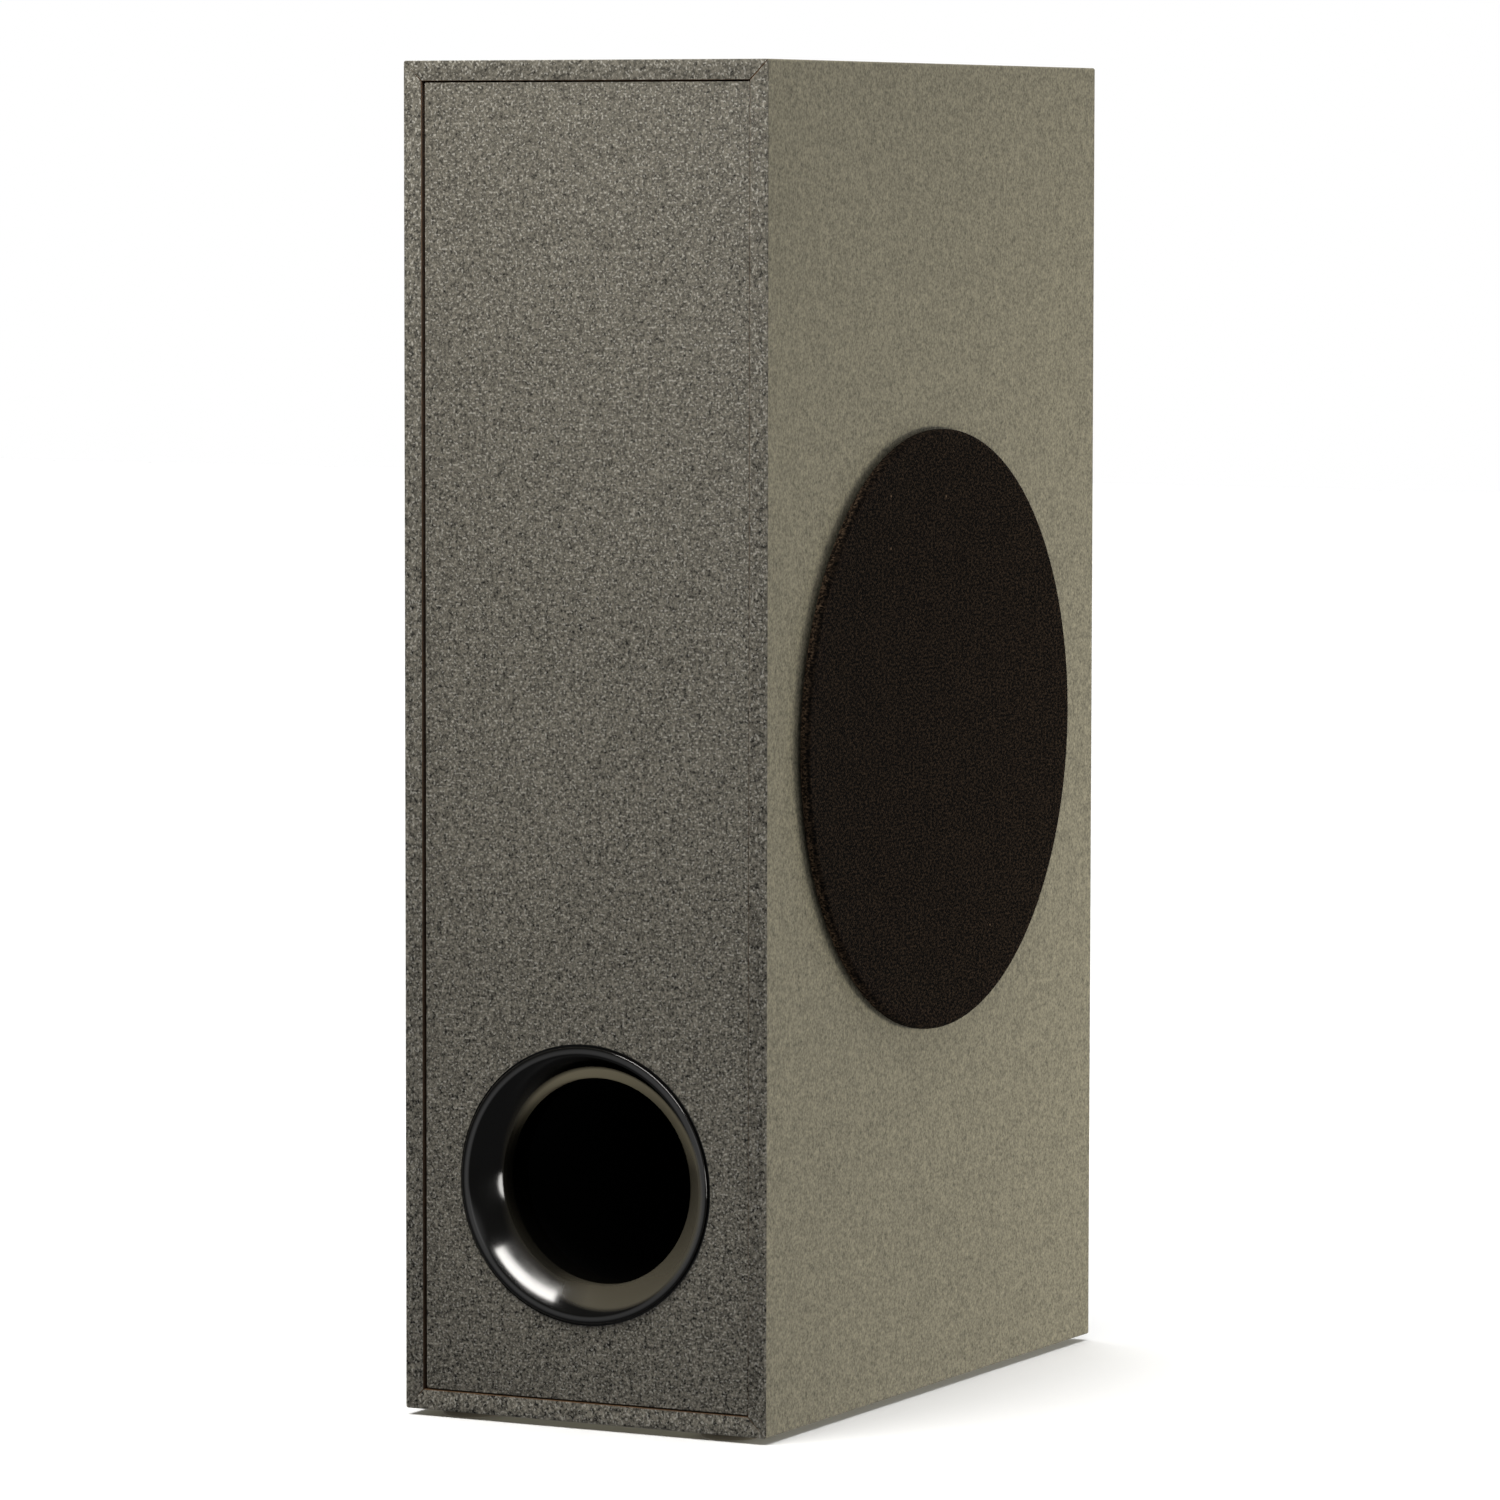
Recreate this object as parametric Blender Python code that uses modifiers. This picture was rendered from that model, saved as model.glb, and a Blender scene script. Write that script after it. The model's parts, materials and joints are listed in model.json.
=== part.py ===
"""Slim upright subwoofer of a soundbar set.

A foil-wrapped fibreboard box with a flared bass port in its narrow front, a round cloth
grille over a 6.5 inch woofer in its right side, and an amplifier plate in its back.

Frame: +Z up, -Y out of the front with the port, +X out of the side with the grille.
The origin is the middle of the box's footprint, on the floor under the feet.
Lengths are in metres.
"""

import math

import bmesh
import bpy
from mathutils import Matrix, Vector

# --- Driving dimensions ---------------------------------------------------------------

CLEAR = 0.0003  # left between pieces that touch

HEIGHT = 0.400  # of the box, without its feet
WIDTH = 0.1205
DEPTH = 0.225
BOARD = 0.006  # the four boards folded round as the wrap
PANEL = 0.009  # the front baffle and the rear panel
PANEL_GAP = 0.0005  # the line round each panel
FRONT_RECESS = 0.0004
REAR_RECESS = 0.005

FOOT_RADIUS = 0.009
FOOT_HEIGHT = 0.002
FOOT_FROM_SIDE = 0.0169
FOOT_FROM_END = 0.011

DRIVER_AHEAD = 0.0028  # the woofer's axis stands this far in front of the middle
DRIVER_CUTOUT = 0.073  # radii from here on
FLANGE_RADIUS = 0.0825
CONE_RADIUS = 0.0562
ROLL_MIDDLE = 0.062
ROLL_RADIUS = 0.005
COIL_RADIUS = 0.0164
MAGNET_RADIUS = 0.045
DRIVER_SCREW_CIRCLE = 0.0775

GRILLE_RADIUS = 0.0905
GRILLE_PROUD = 0.0037
PEG_CIRCLE = 0.0856
PEG_RADIUS = 0.00175

PORT_HEIGHT = 0.0705  # its axis above the underside of the box
PORT_RIM = 0.041
PORT_THROAT = 0.0307
PORT_LIP = 0.001  # how far the rim stands out of the front
FLARE_DEPTH = 0.0095
PORT_WALL = 0.0015
PORT_LENGTH = 0.132

PLATE_WIDTH = 0.098
PLATE_HEIGHT = 0.190
PLATE_THICK = 0.0015
PLATE_MIDDLE = 0.125  # above the underside of the box
SEAL_THICK = 0.001
CUTOUT_WIDTH = 0.080
CUTOUT_HEIGHT = 0.172
BOARD_BEHIND_PLATE = 0.0166  # free height over the circuit board
CIRCUIT_BOARD = 0.0016
BUTTON_RADIUS = 0.0034

# --- Places worked out from them ------------------------------------------------------

RIGHT = WIDTH / 2
FRONT = -DEPTH / 2
REAR = DEPTH / 2
BASE = FOOT_HEIGHT
MIDDLE = BASE + HEIGHT / 2
QUARTER_TURNS = [math.radians(90 * step) for step in range(4)]
DIAGONALS = [turn + math.radians(45) for turn in QUARTER_TURNS]

# A group's own axes: x to the right and y up as seen from outside, z out of the face.
FACING_FRONT = (math.radians(90), 0, 0)
FACING_RIGHT = (math.radians(90), 0, math.radians(90))
FACING_REAR = (math.radians(90), 0, math.radians(180))

FINE, MEDIUM, COARSE, SMALL = 48, 32, 24, 12  # sides of a round piece

# Linear colour, roughness, metallic.
FINISHES = {
    "foil": ((0.172, 0.158, 0.118), 0.55, 0.0),
    "foil_front": ((0.150, 0.142, 0.122), 0.5, 0.0),
    "black_board": ((0.02, 0.02, 0.02), 0.7, 0.0),
    "rubber": ((0.015, 0.015, 0.015), 0.85, 0.0),
    "foam": ((0.02, 0.02, 0.022), 0.95, 0.0),
    "paper": ((0.018, 0.018, 0.02), 0.8, 0.0),
    "cloth": ((0.012, 0.009, 0.007), 0.95, 0.0),
    "spider_cloth": ((0.42, 0.26, 0.08), 0.9, 0.0),
    "gloss_plastic": ((0.006, 0.006, 0.006), 0.08, 0.0),
    "matt_plastic": ((0.02, 0.02, 0.02), 0.5, 0.0),
    "black_steel": ((0.02, 0.02, 0.022), 0.4, 0.6),
    "steel": ((0.5, 0.5, 0.5), 0.35, 1.0),
    "aluminium": ((0.7, 0.7, 0.7), 0.35, 1.0),
    "brass": ((0.7, 0.5, 0.2), 0.3, 1.0),
    "copper": ((0.7, 0.3, 0.15), 0.35, 1.0),
    "ferrite": ((0.03, 0.03, 0.032), 0.6, 0.0),
    "circuit_green": ((0.01, 0.09, 0.03), 0.4, 0.0),
    "lens": ((0.05, 0.15, 0.6), 0.1, 0.0),
    "red_sleeve": ((0.45, 0.01, 0.01), 0.5, 0.0),
    "black_sleeve": ((0.01, 0.01, 0.01), 0.5, 0.0),
}


# --- Making things --------------------------------------------------------------------


def empty_scene():
    for thing in list(bpy.data.objects):
        bpy.data.objects.remove(thing, do_unlink=True)
    for group in list(bpy.data.collections):
        bpy.data.collections.remove(group)


def new_collection(name):
    group = bpy.data.collections.new(name)
    bpy.context.scene.collection.children.link(group)
    return group


empty_scene()
PARTS = new_collection("soundbar_subwoofer")
CUTTERS = new_collection("cutters")


def dress(piece, finish):
    """Give the piece its own Principled material in one of the finishes."""
    colour, roughness, metallic = FINISHES[finish]
    material = bpy.data.materials.new(f"{piece.name}_{finish}")
    material.use_nodes = True
    shader = material.node_tree.nodes["Principled BSDF"]
    shader.inputs["Base Color"].default_value = (*colour, 1.0)
    shader.inputs["Roughness"].default_value = roughness
    shader.inputs["Metallic"].default_value = metallic
    piece.data.materials.append(material)


def add(name, data, finish, parent=None, at=(0, 0, 0), rotation=(0, 0, 0)):
    """Put the data in the scene as a part, or as a cutter where it has no finish."""
    piece = bpy.data.objects.new(name, data)
    piece.location = at
    piece.rotation_euler = rotation
    piece.parent = parent
    if finish:
        PARTS.objects.link(piece)
        dress(piece, finish)
    else:
        CUTTERS.objects.link(piece)
        piece.display_type = "WIRE"
        piece.hide_render = True
    return piece


def axis_empty(name, at, rotation):
    """An empty that a group of pieces is placed from."""
    guide = bpy.data.objects.new(name, None)
    guide.location = at
    guide.rotation_euler = rotation
    PARTS.objects.link(guide)
    return guide


def smooth_sides(mesh):
    mesh.shade_smooth()
    mesh.set_sharp_from_angle(angle=math.radians(35))


def box(name, size, finish, parent=None, at=(0, 0, 0), bevel=0.0):
    """A block of the given size about its place, with rounded edges."""
    shape = bmesh.new()
    bmesh.ops.create_cube(shape, size=1.0, matrix=Matrix.Diagonal((*size, 1.0)))
    mesh = bpy.data.meshes.new(name)
    shape.to_mesh(mesh)
    shape.free()
    piece = add(name, mesh, finish, parent, at)
    if bevel:
        edge = piece.modifiers.new("rounded_edges", "BEVEL")
        edge.width = bevel
        edge.segments = 2
    return piece


def rods(name, places, radius, low, high, finish, parent=None, sides=SMALL):
    """Upright rods of one radius from low to high at each (x, y) place, as one mesh."""
    shape = bmesh.new()
    for x, y in places:
        bmesh.ops.create_cone(
            shape,
            cap_ends=True,
            segments=sides,
            radius1=radius,
            radius2=radius,
            depth=high - low,
            matrix=Matrix.Translation((x, y, (low + high) / 2)),
        )
    mesh = bpy.data.meshes.new(name)
    shape.to_mesh(mesh)
    shape.free()
    smooth_sides(mesh)
    return add(name, mesh, finish, parent)


def turned(name, profile, finish, parent=None, at=(0, 0, 0), sides=MEDIUM):
    """A turned piece: (radius, height) points down its outer side, carried round z.

    A profile that starts and ends on the axis is solid, and any other is a closed ring.
    """
    ring = profile[0][0] > 0
    count = len(profile)
    edges = [(i, (i + 1) % count) for i in range(count if ring else count - 1)]
    mesh = bpy.data.meshes.new(name)
    mesh.from_pydata([(radius, 0, height) for radius, height in profile], edges, [])
    piece = add(name, mesh, finish, parent, at)
    screw = piece.modifiers.new("turned", "SCREW")
    screw.steps = sides
    screw.render_steps = sides
    screw.use_merge_vertices = True
    screw.merge_threshold = 0.00001
    screw.use_smooth_shade = True
    return piece


def arc(middle, radii, start, end, count):
    """Points on an ellipse about the middle, from one angle to the other in degrees."""
    angles = [math.radians(start + (end - start) * i / (count - 1)) for i in range(count)]
    return [
        (middle[0] + radii[0] * math.cos(a), middle[1] + radii[1] * math.sin(a))
        for a in angles
    ]


def outline(name, points, thickness, finish, parent=None, at=(0, 0, 0), rotation=(0, 0, 0)):
    """A flat closed outline with the given thickness about its own plane."""
    curve = bpy.data.curves.new(name, "CURVE")
    curve.dimensions = "2D"
    curve.fill_mode = "BOTH"
    curve.extrude = thickness / 2
    spline = curve.splines.new("POLY")
    spline.points.add(len(points) - 1)
    for point, (x, y) in zip(spline.points, points):
        point.co = (x, y, 0, 1)
    spline.use_cyclic_u = True
    return add(name, curve, finish, parent, at, rotation)


def rounded(width, height, radius, steps=3):
    """The points of a rectangle about the origin with round corners."""
    corners = []
    for x, y, start in ((1, 1, 0), (-1, 1, 90), (-1, -1, 180), (1, -1, 270)):
        middle = (x * (width / 2 - radius), y * (height / 2 - radius))
        corners += arc(middle, (radius, radius), start, start + 90, steps + 1)
    return corners


def slot_outline(width, height, steps=6):
    """The points of a slot with half-round ends, longest in x."""
    reach = (width - height) / 2
    radii = (height / 2, height / 2)
    return arc((reach, 0), radii, -90, 90, steps + 1) + arc((-reach, 0), radii, 90, 270, steps + 1)


def as_mesh(piece):
    """Replace a curve object with the mesh that it shows, so that it can be cut."""
    bpy.context.view_layer.update()
    shown = piece.evaluated_get(bpy.context.evaluated_depsgraph_get())
    mesh = bpy.data.meshes.new_from_object(shown)
    shape = bmesh.new()
    shape.from_mesh(mesh)
    bmesh.ops.remove_doubles(shape, verts=shape.verts, dist=0.00001)
    shape.to_mesh(mesh)
    shape.free()
    name, parent, curve = piece.name, piece.parent, piece.data
    place = piece.matrix_local.copy()
    group = piece.users_collection[0]
    hidden = piece.hide_render
    bpy.data.objects.remove(piece)
    bpy.data.curves.remove(curve)
    solid = bpy.data.objects.new(name, mesh)
    solid.parent = parent
    solid.matrix_local = place
    solid.hide_render = hidden
    solid.display_type = "WIRE" if hidden else "TEXTURED"
    group.objects.link(solid)
    return solid


def cut(piece, tool, operation="DIFFERENCE"):
    boolean = piece.modifiers.new(tool.name, "BOOLEAN")
    boolean.operation = operation
    boolean.solver = "EXACT"
    boolean.object = tool


def on_circle(radius, angles):
    return [(radius * math.cos(a), radius * math.sin(a)) for a in angles]


def smooth_route(points, spacing):
    """Points about the spacing apart on a Catmull-Rom curve through the given ones."""
    knots = [Vector(p) for p in points]
    knots = [2 * knots[0] - knots[1]] + knots + [2 * knots[-1] - knots[-2]]
    route = []
    for a, b, c, d in zip(knots, knots[1:], knots[2:], knots[3:]):
        steps = max(1, round((c - b).length / spacing))
        for i in range(steps):
            t = i / steps
            route.append(
                0.5 * (2 * b + (c - a) * t + (2 * a - 5 * b + 4 * c - d) * t**2
                       + (3 * b - a - 3 * c + d) * t**3)
            )
    return route + [knots[-2]]


def wire(name, points, radius, spacing, finish, parent=None):
    """A round wire along a smooth route, with flat ends."""
    route = smooth_route(points, spacing)
    curve = bpy.data.curves.new(name, "CURVE")
    curve.dimensions = "3D"
    curve.bevel_depth = radius
    curve.bevel_resolution = 2
    curve.use_fill_caps = True
    spline = curve.splines.new("POLY")
    spline.points.add(len(route) - 1)
    for point, place in zip(spline.points, route):
        point.co = (*place, 1)
    return add(name, curve, finish, parent)


# --- The box --------------------------------------------------------------------------

DRIVER_AXIS = axis_empty("driver_axis", (RIGHT, -DRIVER_AHEAD, MIDDLE), FACING_RIGHT)
PORT_AXIS = axis_empty("port_axis", (0, FRONT, BASE + PORT_HEIGHT), FACING_FRONT)
PLATE_AXIS = axis_empty("plate_axis", (0, REAR - REAR_RECESS, BASE + PLATE_MIDDLE), FACING_REAR)

SHANK_HOLE = 0.0022
SOCKET_RADIUS = 0.0032
SOCKET_BORE = PEG_RADIUS + 0.00035


def mitred_board(name, length, turn, reach):
    """A board of the wrap: its outer face is the longer one, and both ends are mitred."""
    setback = CLEAR / math.sqrt(2)
    half = length / 2 - setback
    points = [(half, 0), (-half, 0), (BOARD - half, -BOARD), (half - BOARD, -BOARD)]
    angle = math.radians(turn)
    place = (reach * math.sin(angle), 0, MIDDLE + reach * math.cos(angle))
    return outline(name, points, DEPTH, "foil", None, place, (math.radians(90), angle, 0))


def wrap_boards():
    mitred_board("top_board", WIDTH, 0, HEIGHT / 2)
    mitred_board("bottom_board", WIDTH, 180, HEIGHT / 2)
    mitred_board("left_board", HEIGHT, 270, WIDTH / 2)
    right = as_mesh(mitred_board("right_board", HEIGHT, 90, WIDTH / 2))
    low, high = -2 * BOARD, BOARD
    circle = on_circle(DRIVER_SCREW_CIRCLE, QUARTER_TURNS)
    pegs = on_circle(PEG_CIRCLE, DIAGONALS)
    cut(right, rods("cut_driver", [(0, 0)], DRIVER_CUTOUT, low, high, None, DRIVER_AXIS, FINE))
    cut(right, rods("cut_driver_screws", circle, SHANK_HOLE, low, high, None, DRIVER_AXIS))
    cut(right, rods("cut_sockets", pegs, SOCKET_RADIUS + CLEAR, low, high, None, DRIVER_AXIS))


def panels():
    """The two inset panels: the front one holds the port and the rear one the amplifier."""
    width = WIDTH - 2 * BOARD - 2 * PANEL_GAP
    height = HEIGHT - 2 * BOARD - 2 * PANEL_GAP
    front_middle = FRONT + FRONT_RECESS + PANEL / 2
    front = box("front_baffle", (width, PANEL, height), "foil_front", None, (0, front_middle, MIDDLE))
    hole = PORT_RIM - 0.0014
    cut(front, rods("cut_port", [(0, 0)], hole, -2 * PANEL, PANEL, None, PORT_AXIS, MEDIUM))

    rear_middle = REAR - REAR_RECESS - PANEL / 2
    rear = box("rear_panel", (width, PANEL, height), "black_board", None, (0, rear_middle, MIDDLE))
    cut(rear, box("cut_amplifier", (CUTOUT_WIDTH, CUTOUT_HEIGHT, 3 * PANEL), None, PLATE_AXIS))
    cut(rear, rods("cut_pilots", PLATE_SCREWS, PLATE_SHANK + CLEAR, -2 * PANEL, PANEL, None, PLATE_AXIS))


def feet():
    pad = FOOT_HEIGHT - CLEAR
    edge = 0.0004
    profile = [(0, pad), (FOOT_RADIUS, pad), (FOOT_RADIUS, edge), (FOOT_RADIUS - edge, 0), (0, 0)]
    x = WIDTH / 2 - FOOT_FROM_SIDE
    y = DEPTH / 2 - FOOT_FROM_END
    for end, side_y in (("front", -y), ("rear", y)):
        for side, side_x in (("left", -x), ("right", x)):
            turned(f"foot_{end}_{side}", profile, "rubber", None, (side_x, side_y, 0), COARSE)


# --- The woofer: heights are below the outside of the right board, so they are negative --

SHEET = 0.0012  # the pressed steel of the basket
SEAT = -0.0081  # the front of the basket's flange
LEDGE = -0.0364  # where the spider is glued
BASKET_BASE = -0.040
CONE_EDGE = SEAT + 0.0014  # the cone stands a little in front of the flange
CONE_NECK = -0.030
PAPER = 0.0009
GAP_FACE = -0.0415  # the front of the top plate and of the pole


def basket():
    profile = [
        (FLANGE_RADIUS, SEAT),
        (FLANGE_RADIUS, SEAT - SHEET),
        (0.0608, SEAT - SHEET),
        (0.0468, LEDGE - SHEET),
        (0.0377, LEDGE - SHEET),
        (0.0377, BASKET_BASE - SHEET),
        (0.0190, BASKET_BASE - SHEET),
        (0.0190, BASKET_BASE),
        (0.0365, BASKET_BASE),
        (0.0365, LEDGE),
        (0.0460, LEDGE),
        (0.0600, SEAT),
    ]
    frame = turned("driver_basket", profile, "black_steel", DRIVER_AXIS)
    window, reach, low, high = 0.050, 0.150, -0.033, -0.0125
    middle = (0, 0, (low + high) / 2)
    cut(frame, box("cut_windows_across", (reach, window, high - low), None, DRIVER_AXIS, middle))
    cut(frame, box("cut_windows_up", (window, reach, high - low), None, DRIVER_AXIS, middle))
    circle = on_circle(DRIVER_SCREW_CIRCLE, QUARTER_TURNS)
    cut(frame, rods("cut_flange", circle, SHANK_HOLE, SEAT - PANEL, SEAT + PANEL, None, DRIVER_AXIS))


def driver_gasket():
    top, bottom = -BOARD - CLEAR, SEAT + CLEAR
    outer, inner = FLANGE_RADIUS - 0.0003, DRIVER_CUTOUT + 0.0008
    profile = [(outer, top), (outer, bottom), (inner, bottom), (inner, top)]
    ring = turned("driver_gasket", profile, "foam", DRIVER_AXIS)
    circle = on_circle(DRIVER_SCREW_CIRCLE, QUARTER_TURNS)
    cut(ring, rods("cut_gasket", circle, SHANK_HOLE, bottom - BOARD, top + BOARD, None, DRIVER_AXIS))


def surround():
    """The half roll that lets the cone move: a lip on the flange, the roll, a lip on the cone."""
    thick = 0.0008
    outer_low, inner_low = SEAT + CLEAR, CONE_EDGE + CLEAR
    middle = (ROLL_MIDDLE, (outer_low + inner_low + thick) / 2)
    outer, inner = ROLL_RADIUS + thick / 2, ROLL_RADIUS - thick / 2
    rim = DRIVER_CUTOUT - 0.0005
    profile = [(rim, outer_low + thick), (rim, outer_low), (ROLL_MIDDLE + inner, outer_low)]
    profile += arc(middle, (inner, inner), 25, 155, 5)
    profile += [(ROLL_MIDDLE - inner, inner_low), (0.0535, inner_low), (0.0535, inner_low + thick)]
    profile += [(ROLL_MIDDLE - outer, inner_low + thick)]
    profile += arc(middle, (outer, outer), 155, 25, 5)
    profile += [(ROLL_MIDDLE + outer, outer_low + thick)]
    turned("driver_surround", profile, "rubber", DRIVER_AXIS)


def cone():
    neck = COIL_RADIUS + 0.0006
    profile = [
        (CONE_RADIUS, CONE_EDGE),
        (CONE_RADIUS, CONE_EDGE - PAPER),
        (neck, CONE_NECK - PAPER),
        (neck, CONE_NECK),
        (CONE_RADIUS - 0.0012, CONE_EDGE),
    ]
    turned("driver_cone", profile, "paper", DRIVER_AXIS)


def dust_cap():
    """A shallow dome over the neck of the cone."""
    edge, rise, thick = 0.021, 0.0056, 0.0006
    foot = -0.0264
    ball = (edge**2 + rise**2) / (2 * rise)
    rings = 4
    radii = [edge * step / rings for step in range(rings + 1)]
    heights = [foot + rise - ball + math.sqrt(ball**2 - r**2) for r in radii]
    outer = list(zip(radii, heights))
    inner = [(r, h - thick) for r, h in reversed(outer)]
    turned("driver_dust_cap", outer + inner, "paper", DRIVER_AXIS, sides=COARSE)


def spider():
    """The corrugated cloth cup that centres the coil, from the ledge up to the cone's neck."""
    half, wave = 0.0003, 0.0009
    rim, collar = LEDGE + CLEAR + half, CONE_NECK - 0.0032
    crests, first, last = 7, 0.0190, 0.0350
    line = [(COIL_RADIUS + 0.0005, collar)]
    for i in range(crests):
        share = i / (crests - 1)
        height = collar + (rim - collar) * share
        line.append((first + (last - first) * share, height + (wave if i % 2 else -wave)))
    line += [(0.0366, rim), (0.0450, rim)]
    above = [(r, h + half) for r, h in line]
    below = [(r, h - half) for r, h in reversed(line)]
    turned("driver_spider", [above[-1]] + below + above[:-1], "spider_cloth", DRIVER_AXIS, sides=COARSE)


def voice_coil():
    """A paper tube with the copper winding round its inner end."""
    bore, wound = COIL_RADIUS - 0.0004, COIL_RADIUS + 0.0009
    start, step, end = -0.028, -0.0405, -0.050
    profile = [(COIL_RADIUS, start), (COIL_RADIUS, step), (wound, step), (wound, end)]
    profile += [(bore, end), (bore, start)]
    turned("driver_voice_coil", profile, "copper", DRIVER_AXIS, sides=COARSE)


def motor():
    """The ring magnet between its two steel plates, the rear one with the pole."""
    plate, magnet, plate_radius = 0.005, 0.015, 0.042
    hole = COIL_RADIUS + 0.0016
    top = GAP_FACE
    bottom = top - plate
    ring = [(plate_radius, top), (plate_radius, bottom), (hole, bottom), (hole, top)]
    turned("driver_top_plate", ring, "steel", DRIVER_AXIS, sides=COARSE)

    top = bottom - CLEAR
    bottom = top - magnet
    edge, bore = 0.001, 0.022
    ring = [(MAGNET_RADIUS - edge, top), (MAGNET_RADIUS, top - edge), (MAGNET_RADIUS, bottom + edge)]
    ring += [(MAGNET_RADIUS - edge, bottom), (bore, bottom), (bore, top)]
    turned("driver_magnet", ring, "ferrite", DRIVER_AXIS)

    top = bottom - CLEAR
    pole = COIL_RADIUS - 0.0011
    back = [(0, GAP_FACE), (pole, GAP_FACE), (pole, top), (plate_radius, top)]
    back += [(plate_radius, top - plate), (0, top - plate)]
    turned("driver_back_plate", back, "steel", DRIVER_AXIS, sides=COARSE)


STRIP_OUT = 0.0645  # the terminal strip's distance from the woofer's axis, to the rear
STRIP_THICK = 0.0015


def terminals():
    """The strip riveted behind the flange, and the two braids from it to the cone."""
    top, bottom = SEAT - SHEET - CLEAR, -0.024
    place = (STRIP_OUT, 0, (top + bottom) / 2)
    box("driver_terminals", (STRIP_THICK, 0.016, top - bottom), "matt_plastic", DRIVER_AXIS, place, 0.0003)
    end = STRIP_OUT - STRIP_THICK / 2 - CLEAR
    for name, side in (("tinsel_lead_upper", 1), ("tinsel_lead_lower", -1)):
        y = side * 0.005
        route = [
            (0.0262, y, -0.0266),
            (0.0320, y, -0.0288),
            (0.0420, y, -0.0284),
            (0.0530, y, -0.0235),
            (end, y, -0.0195),
        ]
        wire(name, route, 0.0005, 0.004, "copper", DRIVER_AXIS)


def driver_screws():
    head, top, radius = 0.0016, CLEAR, 0.0036
    profile = [(0, top + head), (radius - 0.0008, top + head), (radius, top + head / 2), (radius, top)]
    profile += [(0.0019, top), (0.0019, -0.0115), (0, -0.0115)]
    for number, (x, y) in enumerate(on_circle(DRIVER_SCREW_CIRCLE, QUARTER_TURNS), 1):
        turned(f"driver_screw_{number}", profile, "black_steel", DRIVER_AXIS, (x, y, 0), SMALL)


# --- The grille -----------------------------------------------------------------------


def grille():
    cloth = 0.0006
    roll = 0.0028
    inner_edge = GRILLE_RADIUS - cloth
    hem = 0.0004
    round_middle = (GRILLE_RADIUS - roll, GRILLE_PROUD - roll)
    outside = [(0, GRILLE_PROUD)] + arc(round_middle, (roll, roll), 90, 0, 4)
    outside += [(GRILLE_RADIUS, hem)]
    inside = [(inner_edge, hem)] + arc(round_middle, (roll - cloth, roll - cloth), 0, 90, 4)
    inside += [(0, GRILLE_PROUD - cloth)]
    turned("grille_cloth", outside + inside, "cloth", DRIVER_AXIS, sides=FINE)

    outer, inner = inner_edge - 0.0005, 0.0818
    top, bottom = GRILLE_PROUD - cloth - 0.0004, CLEAR
    corner = 0.0018
    ring = arc((outer - corner, top - corner), (corner, corner), 90, 0, 3)
    ring += [(outer, bottom), (inner, bottom), (inner, top)]
    frame = turned("grille_frame", ring, "matt_plastic", DRIVER_AXIS, sides=FINE)
    places = on_circle(PEG_CIRCLE, DIAGONALS)
    pegs = rods("join_pegs", places, PEG_RADIUS, -0.0046, bottom + 0.0005, None, DRIVER_AXIS)
    cut(frame, pegs, "UNION")

    sleeve = [(SOCKET_RADIUS, 0), (SOCKET_RADIUS, -0.0057), (SOCKET_BORE, -0.0057), (SOCKET_BORE, 0)]
    for number, (x, y) in enumerate(places, 1):
        turned(f"grille_socket_{number}", sleeve, "rubber", DRIVER_AXIS, (x, y, 0), SMALL)


# --- The port -------------------------------------------------------------------------


def port():
    """A moulded flare with a rounded rim, and the straight tube glued over its spigot."""
    mouth = 0.039  # where the flare's curve meets the rim
    curve = (mouth, -FLARE_DEPTH)
    bore = (mouth - PORT_THROAT, FLARE_DEPTH + PORT_LIP)
    back = (bore[0] - PORT_WALL, bore[1] - PORT_WALL - 0.0004)
    underside = CLEAR - FRONT_RECESS
    spigot_end = -0.022
    rim = arc((PORT_RIM - 0.0012, PORT_LIP - 0.0009), (0.0012, 0.0009), 90, 0, 4)
    profile = rim + [(PORT_RIM, underside), (mouth + 0.0002, underside)]
    profile += arc(curve, back, 90, 180, 4)
    profile += [(PORT_THROAT + PORT_WALL, spigot_end), (PORT_THROAT, spigot_end)]
    profile += arc(curve, bore, 180, 90, 8)
    turned("port_flare", profile, "gloss_plastic", PORT_AXIS, sides=MEDIUM)

    inner = PORT_THROAT + PORT_WALL + 0.0004
    outer, start = inner + 0.0018, -0.012
    tube = [(outer, start), (outer, -PORT_LENGTH), (inner, -PORT_LENGTH), (inner, start)]
    turned("port_tube", tube, "matt_plastic", PORT_AXIS, sides=MEDIUM)


# --- The amplifier: heights are out of the rear panel's face -----------------------------

PLATE_SHANK = 0.0016
PLATE_SCREWS = [(x * 0.044, y * 0.090) for x in (-1, 1) for y in (-1, 1)]
PLATE_LOW = SEAL_THICK + 2 * CLEAR
PLATE_TOP = PLATE_LOW + PLATE_THICK
BOARD_TOP = PLATE_LOW - BOARD_BEHIND_PLATE
BOARD_LOW = BOARD_TOP - CIRCUIT_BOARD
INLET = (0, -0.066)
BUTTON = (-0.014, 0.062)
LED = (0.014, 0.062)


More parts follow.
